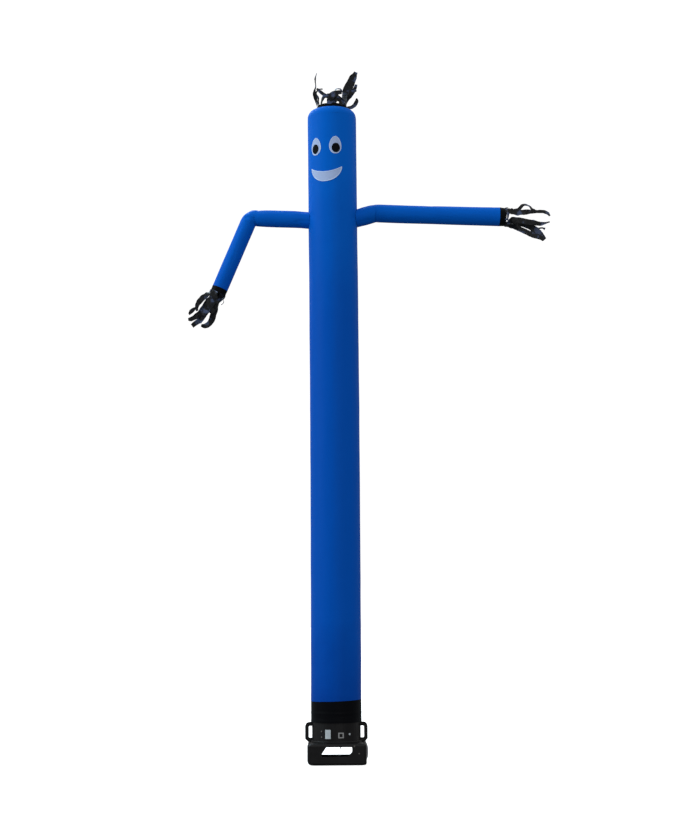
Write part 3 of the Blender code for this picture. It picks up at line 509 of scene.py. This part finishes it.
TUBE_CREASES = (
    # hem of the foot seam, and short puckers that rise from it
    Crease(0.600, 0, 0, 3.0, 0.010, -0.0010),
    Crease(0.590, 20, 4, 0.30, 0.006, 0.0012),
    Crease(0.640, -35, 78, 0.16, 0.012, 0.0012),
    Crease(0.660, 48, 82, 0.20, 0.012, 0.0012),
    Crease(0.650, 150, 80, 0.18, 0.012, 0.0014),
    Crease(0.640, -120, 84, 0.15, 0.012, 0.0012),
    # pulls that fan out from the arm seams
    Crease(5.020, 62, 8, 0.18, 0.016, 0.0046),
    Crease(4.900, 66, 62, 0.26, 0.013, 0.0040),
    Crease(5.140, 66, -60, 0.24, 0.013, 0.0036),
    Crease(5.000, -62, -6, 0.17, 0.015, 0.0042),
    Crease(4.880, -68, -64, 0.24, 0.013, 0.0036),
    Crease(5.110, -66, 58, 0.22, 0.013, 0.0034),
    Crease(5.010, 118, -8, 0.14, 0.016, 0.0026),
    Crease(5.000, -118, 8, 0.14, 0.016, 0.0026),
    # long slack lines where the cloth isn't quite tight
    Crease(4.300, 70, 86, 0.70, 0.030, 0.0018),
    Crease(3.400, -74, 93, 0.90, 0.034, 0.0014),
    Crease(2.200, 64, 88, 0.80, 0.034, 0.0016),
    Crease(1.400, -58, 91, 0.70, 0.030, 0.0014),
    Crease(3.900, 160, 90, 0.90, 0.034, 0.0018),
    Crease(1.900, 178, 90, 0.80, 0.034, 0.0016),
    # pulls under the crown seam
    Crease(5.900, 30, 86, 0.16, 0.012, 0.0014),
    Crease(5.910, -52, 94, 0.14, 0.012, 0.0014),
    Crease(5.900, 130, 88, 0.16, 0.012, 0.0014),
    Crease(5.905, -140, 90, 0.15, 0.012, 0.0014),
)


def upright_station(height, radius):
    return Station(Vector((tube_middle(height), 0, height)), UP, radius, height)


def arm_hole(side, height, radius):
    """The solid that opens the tube's wall into an arm."""
    turns = [2 * math.pi * k / 32 for k in range(32)]
    circle = [(radius * math.sin(turn), height + radius * math.cos(turn)) for turn in turns]
    return loft([[Vector((side * reach, y, z)) for y, z in circle] for reach in (0.10, 0.32)])


def cut(piece, bm):
    """Take a solid away from a piece."""
    mesh = bpy.data.meshes.new("cutter")
    bmesh.ops.recalc_face_normals(bm, faces=bm.faces[:])
    bm.to_mesh(mesh)
    bm.free()
    tool = bpy.data.objects.new("cutter", mesh)
    bpy.context.scene.collection.objects.link(tool)
    modifier = piece.modifiers.new("cut", "BOOLEAN")
    modifier.operation = "DIFFERENCE"
    modifier.solver = "EXACT"
    modifier.object = tool
    graph = bpy.context.evaluated_depsgraph_get()
    made = bpy.data.meshes.new_from_object(piece.evaluated_get(graph))
    piece.modifiers.clear()
    piece.data = made
    bpy.data.objects.remove(tool, do_unlink=True)


class AIR_DANCER_OT_tube(Operator):
    """Build the blue tube, with its slack lines, seam pulls and two arm holes"""

    bl_idname = "air_dancer.tube"
    bl_label = "Body Tube"

    def execute(self, context):
        cloth = context.scene.air_dancer_cloth
        foot = SEAM_HEIGHT + 0.0006
        heights = [h for h in steps(foot, CROWN_SEAM - 0.0004, 0.022)]
        stations = [upright_station(h, TUBE_RADIUS - 0.0004) for h in heights]
        bm = cloth_tube(stations, 96, TUBE_CREASES, cloth.ripple, 3.0)
        for vert in bm.verts:
            fade = max(0.0, 1 - (vert.co.z - foot) / 0.25)
            vert.co.z += SEAM_SLOPE * vert.co.x * fade
        tube = finish_piece("tube_cloth", bm, blue_cloth(), ["body_tube"])
        cut(tube, arm_hole(1, RIGHT_ROOT, ARM_HOLE))
        cut(tube, arm_hole(-1, LEFT_ROOT, ARM_HOLE))
        return {"FINISHED"}


SLEEVE_CREASES = (
    Crease(0.452, 0, 0, 3.0, 0.006, -0.0014),
    Crease(0.445, 180, 0, 3.0, 0.006, -0.0004),
    Crease(0.470, 10, 2, 0.50, 0.010, 0.0014),
    Crease(0.430, -30, -3, 0.40, 0.009, 0.0012),
    Crease(0.415, 46, 12, 0.20, 0.009, 0.0014),
    Crease(0.400, -58, 70, 0.07, 0.007, 0.0012),
    Crease(0.505, -20, 76, 0.10, 0.009, 0.0014),
    Crease(0.500, 42, 100, 0.11, 0.009, 0.0014),
    Crease(0.500, 120, 80, 0.11, 0.009, 0.0014),
    Crease(0.500, -110, 95, 0.11, 0.009, 0.0014),
    Crease(0.510, 175, 88, 0.10, 0.009, 0.0014),
)


class AIR_DANCER_OT_sleeve(Operator):
    """Build the black sleeve that slips over the collar, with its hem and ridge"""

    bl_idname = "air_dancer.sleeve"
    bl_label = "Blower Sleeve"

    def execute(self, context):
        top = SEAM_HEIGHT - 0.0006
        stations = []
        for h in steps(SLEEVE_LOW, top, 0.006):
            hem = 0.0009 if h < SLEEVE_LOW + 0.024 else 0.0  # folded edge, twice as thick
            stations.append(upright_station(h, TUBE_RADIUS + hem))
        bm = cloth_tube(stations, 120, SLEEVE_CREASES, 0.0008, 8.0)
        for vert in bm.verts:
            rise = max(0.0, (vert.co.z - 0.46) / (top - 0.46))
            vert.co.z += SEAM_SLOPE * vert.co.x * rise
        sleeve = finish_piece("sleeve_cloth", bm, black_cloth(), ["blower_sleeve"])
        return {"FINISHED"}


class AIR_DANCER_OT_crown(Operator):
    """Build the crown panel: round shoulders, a nearly flat top and the vent"""

    bl_idname = "air_dancer.crown"
    bl_label = "Crown"

    def execute(self, context):
        vent = BAND_RADIUS - 0.006
        rise = CROWN_TOP - CROWN_SEAM
        wide = 0.064
        centre = Vector((tube_middle(CROWN_SEAM), 0, 0))
        faces = []
        for inset in (0.0, CLOTH):
            rings = []
            for k in range(27):
                if k <= 18:
                    turn = 0.5 * math.pi * k / 18
                    r = TUBE_RADIUS - 0.0004 - wide * (1 - math.cos(turn)) - inset * math.cos(turn)
                    z = CROWN_SEAM + (rise - 0.006) * math.sin(turn) - inset * math.sin(turn)
                else:
                    share = (k - 18) / 8
                    r = TUBE_RADIUS - 0.0004 - wide + (vent - TUBE_RADIUS + wide) * share
                    z = CROWN_TOP - 0.006 * (1 - math.sin(0.5 * math.pi * share)) - inset
                rings.append(self.ring(centre, r, z))
            faces.append(rings)
        outer, inner = faces
        bm = loft(outer + inner[::-1], joined=True)
        crown = finish_piece("crown_cloth", bm, blue_cloth(), ["crown_panel"])
        return {"FINISHED"}

    def ring(self, centre, radius, height):
        """A ring gathered into soft pleats where the panel is eased onto the vent band."""
        points = []
        ease = max(0.0, min(1.0, (TUBE_RADIUS - radius) / 0.07))
        for k in range(96):
            turn = 2 * math.pi * k / 96
            pleat = 0.0011 * math.sin(turn * 17 + 1.3 * math.sin(turn * 3)) * ease
            swell = 0.0010 * noise.noise(Vector((math.cos(turn) * 2, math.sin(turn) * 2, height * 9)))
            out = Vector((math.sin(turn), -math.cos(turn), 0))
            points.append(centre + out * (radius + swell) + UP * (height - abs(pleat) + 0.4 * pleat))
        return points


def band(name, low, high, radius, seed, run, node):
    """A short black ring of doubled cloth with a hem at each edge."""
    stations = []
    for h in steps(0, (high - low).length, 0.004):
        edge = min(h, (high - low).length - h)
        hem = 0.0007 if edge < 0.008 else 0.0
        share = h / (high - low).length
        r = radius[0] + (radius[1] - radius[0]) * share
        stations.append(Station(low + (high - low) * share, run, r + hem, h))
    creases = [
        Crease((high - low).length / 2, turn, 84 + 9 * math.sin(turn), 0.035, 0.006, 0.0013)
        for turn in range(8, 360, 31)
    ]
    bm = cloth_tube(stations, 72, creases, 0.0006, seed)
    piece = finish_piece(name, bm, black_cloth(), [node])
    return piece


# ---------------------------------------------------------------- the arms

Place = namedtuple("Place", "x z radius")
RIGHT_ARM = (
    Place(0.300, 5.0355, 0.0850),
    Place(0.368, 5.0540, 0.0840),
    Place(0.397, 5.0600, 0.0820),
    Place(0.430, 5.0602, 0.0840),
    Place(0.650, 5.0510, 0.0842),
    Place(0.950, 5.0405, 0.0845),
    Place(1.250, 5.0295, 0.0858),
    Place(1.500, 5.0220, 0.0872),
    Place(1.5630, 5.0200, 0.0880),
)
RIGHT_CUFF = (Place(1.5640, 5.0200, 0.0878), Place(1.6235, 5.0160, 0.0843))
LEFT_ARM = (
    Place(-0.290, 5.0045, 0.0770),
    Place(-0.360, 5.0100, 0.0788),
    Place(-0.500, 5.0150, 0.0792),
    Place(-0.620, 5.0190, 0.0782),
    Place(-0.700, 5.0205, 0.0740),
)
ELBOW = Vector((-0.722, 0, 4.949))
ELBOW_TURN = 67.0
FOREARM = 0.674
CUFF = 0.060

RIGHT_CREASES = (
    Crease(0.170, 0, 0, 0.32, 0.009, 0.0068),
    Crease(0.160, -60, 20, 0.18, 0.010, 0.0062),
    Crease(0.150, 160, -8, 0.22, 0.012, 0.0066),
    Crease(0.090, 20, 58, 0.16, 0.011, 0.0050),
    Crease(0.070, -40, 96, 0.14, 0.011, 0.0042),
    Crease(0.100, 130, 70, 0.16, 0.011, 0.0046),
    Crease(0.640, 62, 66, 0.22, 0.014, 0.0034),
    Crease(0.760, 58, 108, 0.20, 0.014, 0.0032),
    Crease(0.420, -50, 84, 0.30, 0.018, 0.0016),
    Crease(1.050, 20, 92, 0.34, 0.018, 0.0014),
    Crease(1.000, 150, 88, 0.40, 0.018, 0.0018),
    Crease(1.300, 80, 84, 0.10, 0.010, 0.0018),
    Crease(1.300, -20, 96, 0.10, 0.010, 0.0016),
    Crease(1.290, -90, 88, 0.10, 0.010, 0.0016),
    Crease(1.295, 170, 92, 0.10, 0.010, 0.0016),
)
LEFT_CREASES = (
    Crease(0.070, 20, 74, 0.16, 0.011, 0.0044),
    Crease(0.075, -50, 104, 0.15, 0.011, 0.0040),
    Crease(0.080, 150, 80, 0.16, 0.011, 0.0042),
    Crease(0.180, -30, 80, 0.18, 0.014, 0.0020),
    Crease(0.535, 4, -34, 0.26, 0.010, 0.0082),
    Crease(0.505, -8, -12, 0.20, 0.010, 0.0062),
    Crease(0.585, 6, 26, 0.20, 0.010, 0.0062),
    Crease(0.545, 176, 30, 0.26, 0.010, 0.0078),
    Crease(0.510, 184, 10, 0.18, 0.010, 0.0040),
    Crease(0.590, 178, -24, 0.18, 0.010, 0.0040),
    Crease(0.640, 48, 74, 0.24, 0.013, 0.0036),
    Crease(0.700, -34, 100, 0.22, 0.014, 0.0020),
    Crease(0.950, 10, 88, 0.36, 0.016, 0.0014),
    Crease(0.950, 170, 92, 0.36, 0.016, 0.0016),
    Crease(1.190, 30, 88, 0.10, 0.009, 0.0016),
    Crease(1.190, -60, 94, 0.10, 0.009, 0.0016),
    Crease(1.190, 150, 90, 0.10, 0.009, 0.0016),
)


def blended(places, pitch):
    """Stations along a row of places, evenly spaced and joined by a smooth curve."""
    points = [Vector((p.x, 0, p.z, p.radius)) for p in places]
    fine = []
    ends = [points[0] * 2 - points[1], *points, points[-1] * 2 - points[-2]]
    for a, b, c, d in zip(ends, ends[1:], ends[2:], ends[3:]):
        count = max(1, round((c - b).length / pitch))
        for k in range(count):
            t = k / count
            swing, bend = 3 * b - a - 3 * c + d, 2 * a - 5 * b + 4 * c - d
            fine.append(0.5 * (2 * b + (c - a) * t + bend * t**2 + swing * t**3))
    fine.append(points[-1])
    return fine


def arm_stations(fine, start):
    """Stations with their run and their distance along the arm, from the tube's wall."""
    stations = []
    along = (fine[0].xyz - start).length
    for k, point in enumerate(fine):
        if k:
            along += (point.xyz - fine[k - 1].xyz).length
        ahead, behind = fine[min(k + 1, len(fine) - 1)], fine[max(k - 1, 0)]
        run = (ahead.xyz - behind.xyz).normalized()
        stations.append(Station(point.xyz, run, point.w, along))
    return stations


def root_ring(side, height, radius, sides):
    """A ring on the tube's wall, as the first ring of an arm."""

    def ring(inset):
        points = []
        for k in range(sides):
            turn = 2 * math.pi * k / sides
            y = -(radius - inset) * math.cos(turn)
            z = height + side * (radius - inset) * math.sin(turn)
            x = side * math.sqrt((TUBE_RADIUS + 0.0008) ** 2 - y * y)
            points.append(Vector((tube_middle(z) + x, y, z)))
        return points

    return ring


def arm(name, side, root, fine, creases, node):
    cloth = bpy.context.scene.air_dancer_cloth
    height, radius = root
    start = Vector((side * TUBE_RADIUS, 0, height))
    stations = arm_stations(fine, start)
    bm = cloth_tube(stations, 64, creases, cloth.ripple, 5.0 * side, root_ring(side, height, radius, 64))
    piece = finish_piece(name, bm, blue_cloth(), [node])
    return stations


def bent_arm():
    """The fine points of the bent arm: upper arm, elbow turned about its fold, forearm."""
    fine = blended(LEFT_ARM, 0.014)
    radii = (0.0740, 0.0732, 0.0740, 0.0745)
    for k in range(1, 13):
        share = k / 12
        turn = math.radians(ELBOW_TURN * share)
        up = Vector((-math.sin(turn), 0, math.cos(turn)))
        radius = radii[min(3, int(share * 3))]
        centre = ELBOW + up * (radius + 0.003)
        fine.append(Vector((*centre, radius)))
    last = fine[-1].xyz
    turn = math.radians(ELBOW_TURN)
    run = Vector((-math.cos(turn), 0, -math.sin(turn)))
    for far in steps(0, FOREARM, 0.014)[1:]:
        share = far / FOREARM
        centre = last + run * far
        fine.append(Vector((*centre, 0.0748 - 0.0012 * share)))
    return fine, run


class AIR_DANCER_OT_arms(Operator):
    """Build the raised arm and the bent arm, with their kink, elbow folds and cuffs"""

    bl_idname = "air_dancer.arms"
    bl_label = "Arms"

    def execute(self, context):
        fine = blended(RIGHT_ARM, 0.014)
        arm("arm_raised", 1, (RIGHT_ROOT, 0.0850), fine, RIGHT_CREASES, "arm_right")
        near, far = (Vector((p.x, 0, p.z)) for p in RIGHT_CUFF)
        radii = (RIGHT_CUFF[0].radius, RIGHT_CUFF[1].radius)
        band("cuff_raised", near, far, radii, 2.0, (far - near).normalized(), "cuff_right")
        fine, run = bent_arm()
        arm("arm_bent", -1, (LEFT_ROOT, 0.0782), fine, LEFT_CREASES, "arm_left")
        wrist = fine[-1].xyz + run * 0.0006
        radii = (fine[-1].w, fine[-1].w)
        band("cuff_bent", wrist, wrist + run * CUFF, radii, 6.0, run, "cuff_left")
        return {"FINISHED"}


class AIR_DANCER_OT_vent_band(Operator):
    """Build the black band round the vent at the top of the head"""

    bl_idname = "air_dancer.vent_band"
    bl_label = "Vent Band"

    def execute(self, context):
        middle = tube_middle(CROWN_SEAM)
        low, high = (Vector((middle, 0, z)) for z in span("vent_band", 2))
        band("vent_ring", low, high, (BAND_RADIUS, BAND_RADIUS - 0.001), 4.0, UP, "vent_band")
        return {"FINISHED"}


# ---------------------------------------------------------------- the face


def copy_of(node):
    """A node's mesh as a bmesh with its doubled points joined."""
    bm = bmesh.new()
    bm.from_mesh(NODES[node].data)
    bmesh.ops.remove_doubles(bm, verts=bm.verts[:], dist=0.00002)
    return bm


FACE_TURN = -16.6
Patch = namedtuple("Patch", "name node turn half_angle height half_height point lift")
PATCHES = (
    Patch("eye_left_cloth", "eye_white_left", -24.4, 13.2, 5.657, 0.079, 0.15, 0.0012),
    Patch("eye_right_cloth", "eye_white_right", 24.4, 13.4, 5.660, 0.079, 0.15, 0.0012),
    Patch("pupil_left_cloth", "eye_pupil_left", -25.4, 9.2, 5.634, 0.045, 0.0, 0.0030),
    Patch("pupil_right_cloth", "eye_pupil_right", 25.6, 9.8, 5.634, 0.045, 0.0, 0.0030),
)


def oval_outline(patch, u, v):
    """Where a point of the unit disc lands: an egg, narrower at its top."""
    narrow = 1 - patch.point * v
    return patch.half_angle * u * narrow, patch.height + patch.half_height * v


def wall_point(turn, height, lift):
    out = Vector((math.sin(math.radians(turn)), -math.cos(math.radians(turn)), 0))
    return Vector((tube_middle(height), 0, height)) + out * (TUBE_RADIUS + lift)


def disc_grid(rings, sides):
    """Points (u, v, share of the way out) of a disc, row by row from its middle."""
    circle = [(math.cos(2 * math.pi * k / sides), math.sin(2 * math.pi * k / sides)) for k in range(sides)]
    return [[(u * r / rings, v * r / rings, r / rings) for u, v in circle] for r in range(1, rings + 1)]


def patch_mesh(place, rings, sides, lift, thickness=0.0009):
    """A thin closed patch over a unit disc. place(u, v) gives a turn and a height."""
    bm = bmesh.new()
    skins = []
    for up in (lift, lift + thickness):
        middle = bm.verts.new(wall_point(*place(0, 0), up + (0.0003 if up > lift else 0)))
        rows = []
        for row in disc_grid(rings, sides):
            line = []
            for u, v, share in row:
                puff = 0.0003 * (1 - share**6) if up > lift else 0.0
                line.append(bm.verts.new(wall_point(*place(u, v), up + puff)))
            rows.append(line)
        for k in range(sides):
            bm.faces.new((middle, rows[0][k], rows[0][(k + 1) % sides]))
        for a, b in zip(rows, rows[1:]):
            for k in range(sides):
                n = (k + 1) % sides
                bm.faces.new((a[k], b[k], b[n], a[n]))
        skins.append(rows[-1])
    for k in range(sides):
        n = (k + 1) % sides
        bm.faces.new((skins[0][k], skins[0][n], skins[1][n], skins[1][k]))
    return bm


MOUTH_TOP = 5.409
MOUTH_LIFT = 0.0455  # how far the corners stand above the upper lip's middle
MOUTH_DEPTH = 0.088
MOUTH_HALF = 39.3  # degrees round the tube


def smile_grid():
    """A smile as a grid: columns across, rows from the lower lip to the upper one."""
    columns, rows = 48, 8
    grid = []
    for i in range(columns + 1):
        u = -math.cos(math.pi * i / columns) * 0.996
        high = MOUTH_TOP + MOUTH_LIFT * u * u
        rim = MOUTH_TOP + MOUTH_LIFT
        low = rim - (MOUTH_DEPTH + MOUTH_LIFT) * (1 - abs(u) ** 2.1) ** 0.6
        low = min(low, high - 0.004)
        turn = FACE_TURN + MOUTH_HALF * u
        grid.append([(turn, low + (high - low) * j / rows) for j in range(rows + 1)])
    return grid


def grid_patch(grid, lift, thickness=0.0009):
    """A thin closed patch over a grid of (turn, height) places."""
    bm = bmesh.new()
    skins = [
        [[bm.verts.new(wall_point(*place, up)) for place in line] for line in grid]
        for up in (lift, lift + thickness)
    ]
    columns, rows = len(grid) - 1, len(grid[0]) - 1
    for skin in skins:
        for i in range(columns):
            for j in range(rows):
                bm.faces.new((skin[i][j], skin[i + 1][j], skin[i + 1][j + 1], skin[i][j + 1]))
    rim = [(i, 0) for i in range(columns)] + [(columns, j) for j in range(rows)]
    rim += [(i, rows) for i in range(columns, 0, -1)] + [(0, j) for j in range(rows, 0, -1)]
    near, far = skins
    for (a, b), (c, d) in zip(rim, rim[1:] + rim[:1]):
        bm.faces.new((near[a][b], near[c][d], far[c][d], far[a][b]))
    return bm


def stitched_rim(name, outline, material, lift, node):
    """A satin-stitched cord round a patch, laid on its edge. outline is (turn, height) places."""
    width, height = 0.0032, 0.0012
    rings = []
    count = len(outline)
    for k, (turn, z) in enumerate(outline):
        before, after = wall_point(*outline[k - 1], 0), wall_point(*outline[(k + 1) % count], 0)
        run = (after - before).normalized()
        out = wall_point(turn, z, 1.0) - wall_point(turn, z, 0.0)
        side = run.cross(out).normalized()
        centre = wall_point(turn, z, lift)
        ring = []
        for s in range(8):
            a = 2 * math.pi * s / 8
            ring.append(centre + side * width * math.cos(a) + out * height * (1 + math.sin(a)))
        rings.append(ring)
    piece = finish_piece(name, loft(rings, joined=True), material, [node])
    return piece


class AIR_DANCER_OT_face(Operator):
    """Build the eyes, the pupils and the smile as sewn patches with stitched edges"""

    bl_idname = "air_dancer.face"
    bl_label = "Face"

    def execute(self, context):
        face = context.scene.air_dancer_face
        # the white patches' colour is a painted shade of white
        white = applique("polyester_applique_white", list(face.white))
        # the stitched cord's paler colour is a painted edge highlight round each white patch
        rim = applique("satin_stitch_with_painted_highlight", list(face.rim), 0.5)
        black = applique("polyester_applique_black", list(face.pupil), 0.6, 0.0, 0.05)
        for patch in PATCHES:
            dark = "pupil" in patch.name

            def place(u, v, patch=patch):
                turn, height = oval_outline(patch, u, v)
                return FACE_TURN + patch.turn + turn, height

            bm = patch_mesh(place, 10, 48, patch.lift)
            piece = finish_piece(patch.name, bm, black if dark else white, [patch.node])
            extra = []
            if not dark:
                turns = [2 * math.pi * k / 72 for k in range(72)]
                outline = [place(math.cos(turn), math.sin(turn)) for turn in turns]
                extra = [stitched_rim(patch.name + "_stitches", outline, rim, patch.lift, patch.node)]
        grid = smile_grid()
        smile = finish_piece("smile_cloth", grid_patch(grid, 0.0012), white, ["smile"])
        outline = [line[0] for line in grid] + [line[-1] for line in grid[::-1]]
        edge = stitched_rim("smile_cloth_stitches", outline, rim, 0.0012, "smile")
        return {"FINISHED"}


# ---------------------------------------------------------------- streamers


def crumpled(node, material, crumple):
    """A streamer: its CAD strip made finer and crumpled."""
    bm = copy_of(node)
    bmesh.ops.join_triangles(bm, faces=bm.faces[:], angle_face_threshold=0.9, angle_shape_threshold=3.0)
    long_edges = [edge for edge in bm.edges if edge.calc_length() > 0.004]
    bmesh.ops.subdivide_edges(bm, edges=long_edges, cuts=2, use_grid_fill=True)
    seed = sum(ord(letter) for letter in node) * 0.37
    for vert in bm.verts:
        spot = vert.co * 24 + Vector((seed, 0, 0))
        wave = Vector([noise.noise(spot + Vector(shift)) for shift in ((0, 0, 0), (9, 0, 0), (0, 9, 0))])
        sharp = noise.noise(vert.co * 60 + Vector((seed, 3, 1)))
        vert.co += crumple * (wave + 0.35 * Vector((sharp, -sharp, sharp)))
    area = sum(face.calc_area() for face in bm.faces) / 2
    piece = finish_piece(node + "_cloth", bm, material, [node], 60.0)
    low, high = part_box(node)
    reach = (high - low).length
    return piece, area, reach


class AIR_DANCER_OT_streamers(Operator):
    """Build the crumpled black streamers at the head and at both hands"""

    bl_idname = "air_dancer.streamers"
    bl_label = "Streamers"

    def execute(self, context):
        cloth = context.scene.air_dancer_cloth
        material = streamer_nylon(list(cloth.streamer), cloth.ripstop)
        holders = {"head": "vent_ring", "hand_left": "cuff_bent", "hand_right": "cuff_raised"}
        for start, holder in holders.items():
            for node in sorted(n for n in NODES if n.startswith(start + "_")):
                piece, area, reach = crumpled(node, material, cloth.crumple)
        return {"FINISHED"}


# ---------------------------------------------------------------- the blower

PLASTIC_NODES = (
    "blower_base",
    "base_pan",
    "blower_collar",
    "handle_left",
    "handle_right",
    "window_rib",
    "inlet_core",
)
STEEL_NODES = ("base_screw_high", "base_screw_low", "panel_screw_high", "panel_screw_low")


def give(material, *nodes):
    for node in nodes:
        slots = NODES[node].data.materials
        slots.clear()
        slots.append(material)


class AIR_DANCER_OT_blower(Operator):
    """Give the blower its moulded plastic, plate, inlet, guard and screws"""

    bl_idname = "air_dancer.blower"
    bl_label = "Blower"

    def execute(self, context):
        blower = context.scene.air_dancer_blower
        plastic = moulded_plastic("abs_moulded_black", list(blower.plastic))
        give(plastic, *PLASTIC_NODES)
        plate = moulded_plastic("vinyl_blank_plate", list(blower.plate), 0.4, 0.1, 1.1)
        give(plate, "rating_plate", "panel_lamp")
        give(moulded_plastic("abs_grey_ring", list(blower.fitting), 0.4, 0.2, 1.15), "power_inlet")
        give(painted_guard(list(blower.guard)), "side_guard")
        give(zinc_steel(), *STEEL_NODES)
        return {"FINISHED"}


# ---------------------------------------------------------------- the stage


FLOOR_HALF = 60.0
FLOOR_DROP = 0.001  # the floor lies just below the blower's pan
FLOOR_GLOW = 0.62  # lifts the pale floor to the backdrop's white
COOL_KEY = (0.8, 0.95, 1.0)
COOL_RIM = (0.6, 0.86, 1.0)
CAMERA_PLACE = (0.077, -14.68, 1.508)
CAMERA_TILT = 6.3  # degrees above level
CAMERA_ROLL = -0.44
SENSOR = 36  # mm
LOWEST_LOOK, HIGHEST_LOOK = -0.4, 0.9  # upward parts of a direction between which the air brightens
AIR_BELOW, AIR_ABOVE = 0.25, 1.5  # the air's brightness there, as shares of Soft Air


def area_light(name, power, size, place, target):
    light = bpy.data.lights.new(name, "AREA")
    light.shape = "RECTANGLE"
    light.size, light.size_y = size
    light.energy = power
    lamp = bpy.data.objects.new(name, light)
    bpy.context.scene.collection.objects.link(lamp)
    lamp.location = place
    lamp.rotation_euler = (Vector(target) - Vector(place)).to_track_quat("-Z", "Y").to_euler()
    return lamp


class AIR_DANCER_OT_stage(Operator):
    """Set up the pale studio floor, the soft lights and the camera"""

    bl_idname = "air_dancer.stage"
    bl_label = "Stage"

    def execute(self, context):
        stage = context.scene.air_dancer_stage
        scene = context.scene
        scene.view_settings.view_transform = "Standard"
        self.white_studio(scene, stage)
        bm = bmesh.new()
        corners = [(x * FLOOR_HALF, y * FLOOR_HALF, 0) for x, y in ((-1, -1), (1, -1), (1, 1), (-1, 1))]
        bm.faces.new([bm.verts.new(corner) for corner in corners])
        mesh = bpy.data.meshes.new("studio_floor")
        bm.to_mesh(mesh)
        bm.free()
        floor = bpy.data.objects.new("studio_floor", mesh)
        floor.location.z = -FLOOR_DROP
        scene.collection.objects.link(floor)
        material, _, shader = new_material("studio_floor_paint", 0.9)
        shader.inputs["Base Color"].default_value = (0.9, 0.9, 0.9, 1.0)
        shader.inputs["Emission Color"].default_value = (1.0, 1.0, 1.0, 1.0)
        shader.inputs["Emission Strength"].default_value = FLOOR_GLOW
        floor.visible_diffuse = False
        floor.visible_glossy = False
        mesh.materials.append(material)
        key = area_light("key_left", stage.key, (4, 8), (-12, -3.5, 7.0), (0, 0, 3.4))
        key.data.color = COOL_KEY
        area_light("fill_front", stage.fill, (8, 8), (4, -13, 5), (0, 0, 3.0))
        rim = area_light("rim_above", stage.rim, (6, 6), (-4, 4.5, 12), (0, 0, 5.0))
        rim.data.color = COOL_RIM
        camera = bpy.data.cameras.new("camera")
        camera.sensor_width = SENSOR
        camera.lens = stage.lens
        camera.clip_end = 300
        holder = bpy.data.objects.new("camera", camera)
        scene.collection.objects.link(holder)
        tilt, roll = math.radians(CAMERA_TILT), math.radians(CAMERA_ROLL)
        look = Vector((0, math.cos(tilt), math.sin(tilt))).to_track_quat("-Z", "Y").to_matrix().to_4x4()
        holder.matrix_world = Matrix.Translation(CAMERA_PLACE) @ look @ Matrix.Rotation(roll, 4, "Z")
        scene.camera = holder
        return {"FINISHED"}

    def white_studio(self, scene, stage):
        """A white backdrop, and a dimmer even light on the object than the backdrop's own."""
        world = bpy.data.worlds.new("white_studio")
        scene.world = world
        world.use_nodes = True
        tree = world.node_tree
        tree.nodes.clear()
        white = (1.0, 1.0, 1.0, 1.0)
        way = add_node(tree, "ShaderNodeTexCoord")
        parts = add_node(tree, "ShaderNodeSeparateXYZ", inputs={"Vector": way.outputs["Generated"]})
        high = add_node(
            tree,
            "ShaderNodeMapRange",
            inputs={
                "Value": parts.outputs["Z"],
                "From Min": LOWEST_LOOK,
                "From Max": HIGHEST_LOOK,
                "To Min": stage.air * AIR_BELOW,
                "To Max": stage.air * AIR_ABOVE,
            },
        )
        glow = {"Color": white, "Strength": high.outputs["Result"]}
        air = add_node(tree, "ShaderNodeBackground", inputs=glow)
        drop = add_node(tree, "ShaderNodeBackground", inputs={"Color": white, "Strength": stage.backdrop})
        seen = add_node(tree, "ShaderNodeLightPath")
        mix = add_node(
            tree,
            "ShaderNodeMixShader",
            inputs={0: seen.outputs["Is Camera Ray"], 1: air.outputs[0], 2: drop.outputs[0]},
        )
        add_node(tree, "ShaderNodeOutputWorld", inputs={"Surface": mix.outputs[0]})


class AIR_DANCER_PT_panel(Panel):
    """The air dancer's pieces and settings"""

    bl_idname = "AIR_DANCER_PT_panel"
    bl_label = "Air Dancer"
    bl_space_type = "VIEW_3D"
    bl_region_type = "UI"
    bl_category = "Air Dancer"

    def draw(self, context):
        layout = self.layout
        for operator in OPERATORS:
            layout.operator(operator.bl_idname)
        for key, group in GROUPS.items():
            box = layout.box()
            for name in group.__annotations__:
                box.prop(getattr(context.scene, key), name)


GROUPS = {
    "air_dancer_cloth": AirDancerCloth,
    "air_dancer_face": AirDancerFace,
    "air_dancer_blower": AirDancerBlower,
    "air_dancer_stage": AirDancerStage,
}
OPERATORS = (
    AIR_DANCER_OT_tube,
    AIR_DANCER_OT_sleeve,
    AIR_DANCER_OT_crown,
    AIR_DANCER_OT_arms,
    AIR_DANCER_OT_vent_band,
    AIR_DANCER_OT_face,
    AIR_DANCER_OT_streamers,
    AIR_DANCER_OT_blower,
    AIR_DANCER_OT_stage,
)


def register():
    for item in (*GROUPS.values(), *OPERATORS, AIR_DANCER_PT_panel):
        bpy.utils.register_class(item)
    for key, group in GROUPS.items():
        setattr(bpy.types.Scene, key, PointerProperty(type=group))


def unregister():
    for key in GROUPS:
        delattr(bpy.types.Scene, key)
    for item in (AIR_DANCER_PT_panel, *OPERATORS[::-1], *list(GROUPS.values())[::-1]):
        bpy.utils.unregister_class(item)


def main():
    register()
    bpy.ops.air_dancer.stage()
    bpy.ops.air_dancer.tube()
    bpy.ops.air_dancer.sleeve()
    bpy.ops.air_dancer.crown()
    bpy.ops.air_dancer.vent_band()
    bpy.ops.air_dancer.arms()
    bpy.ops.air_dancer.face()
    bpy.ops.air_dancer.streamers()
    bpy.ops.air_dancer.blower()


if __name__ == "__main__":
    main()
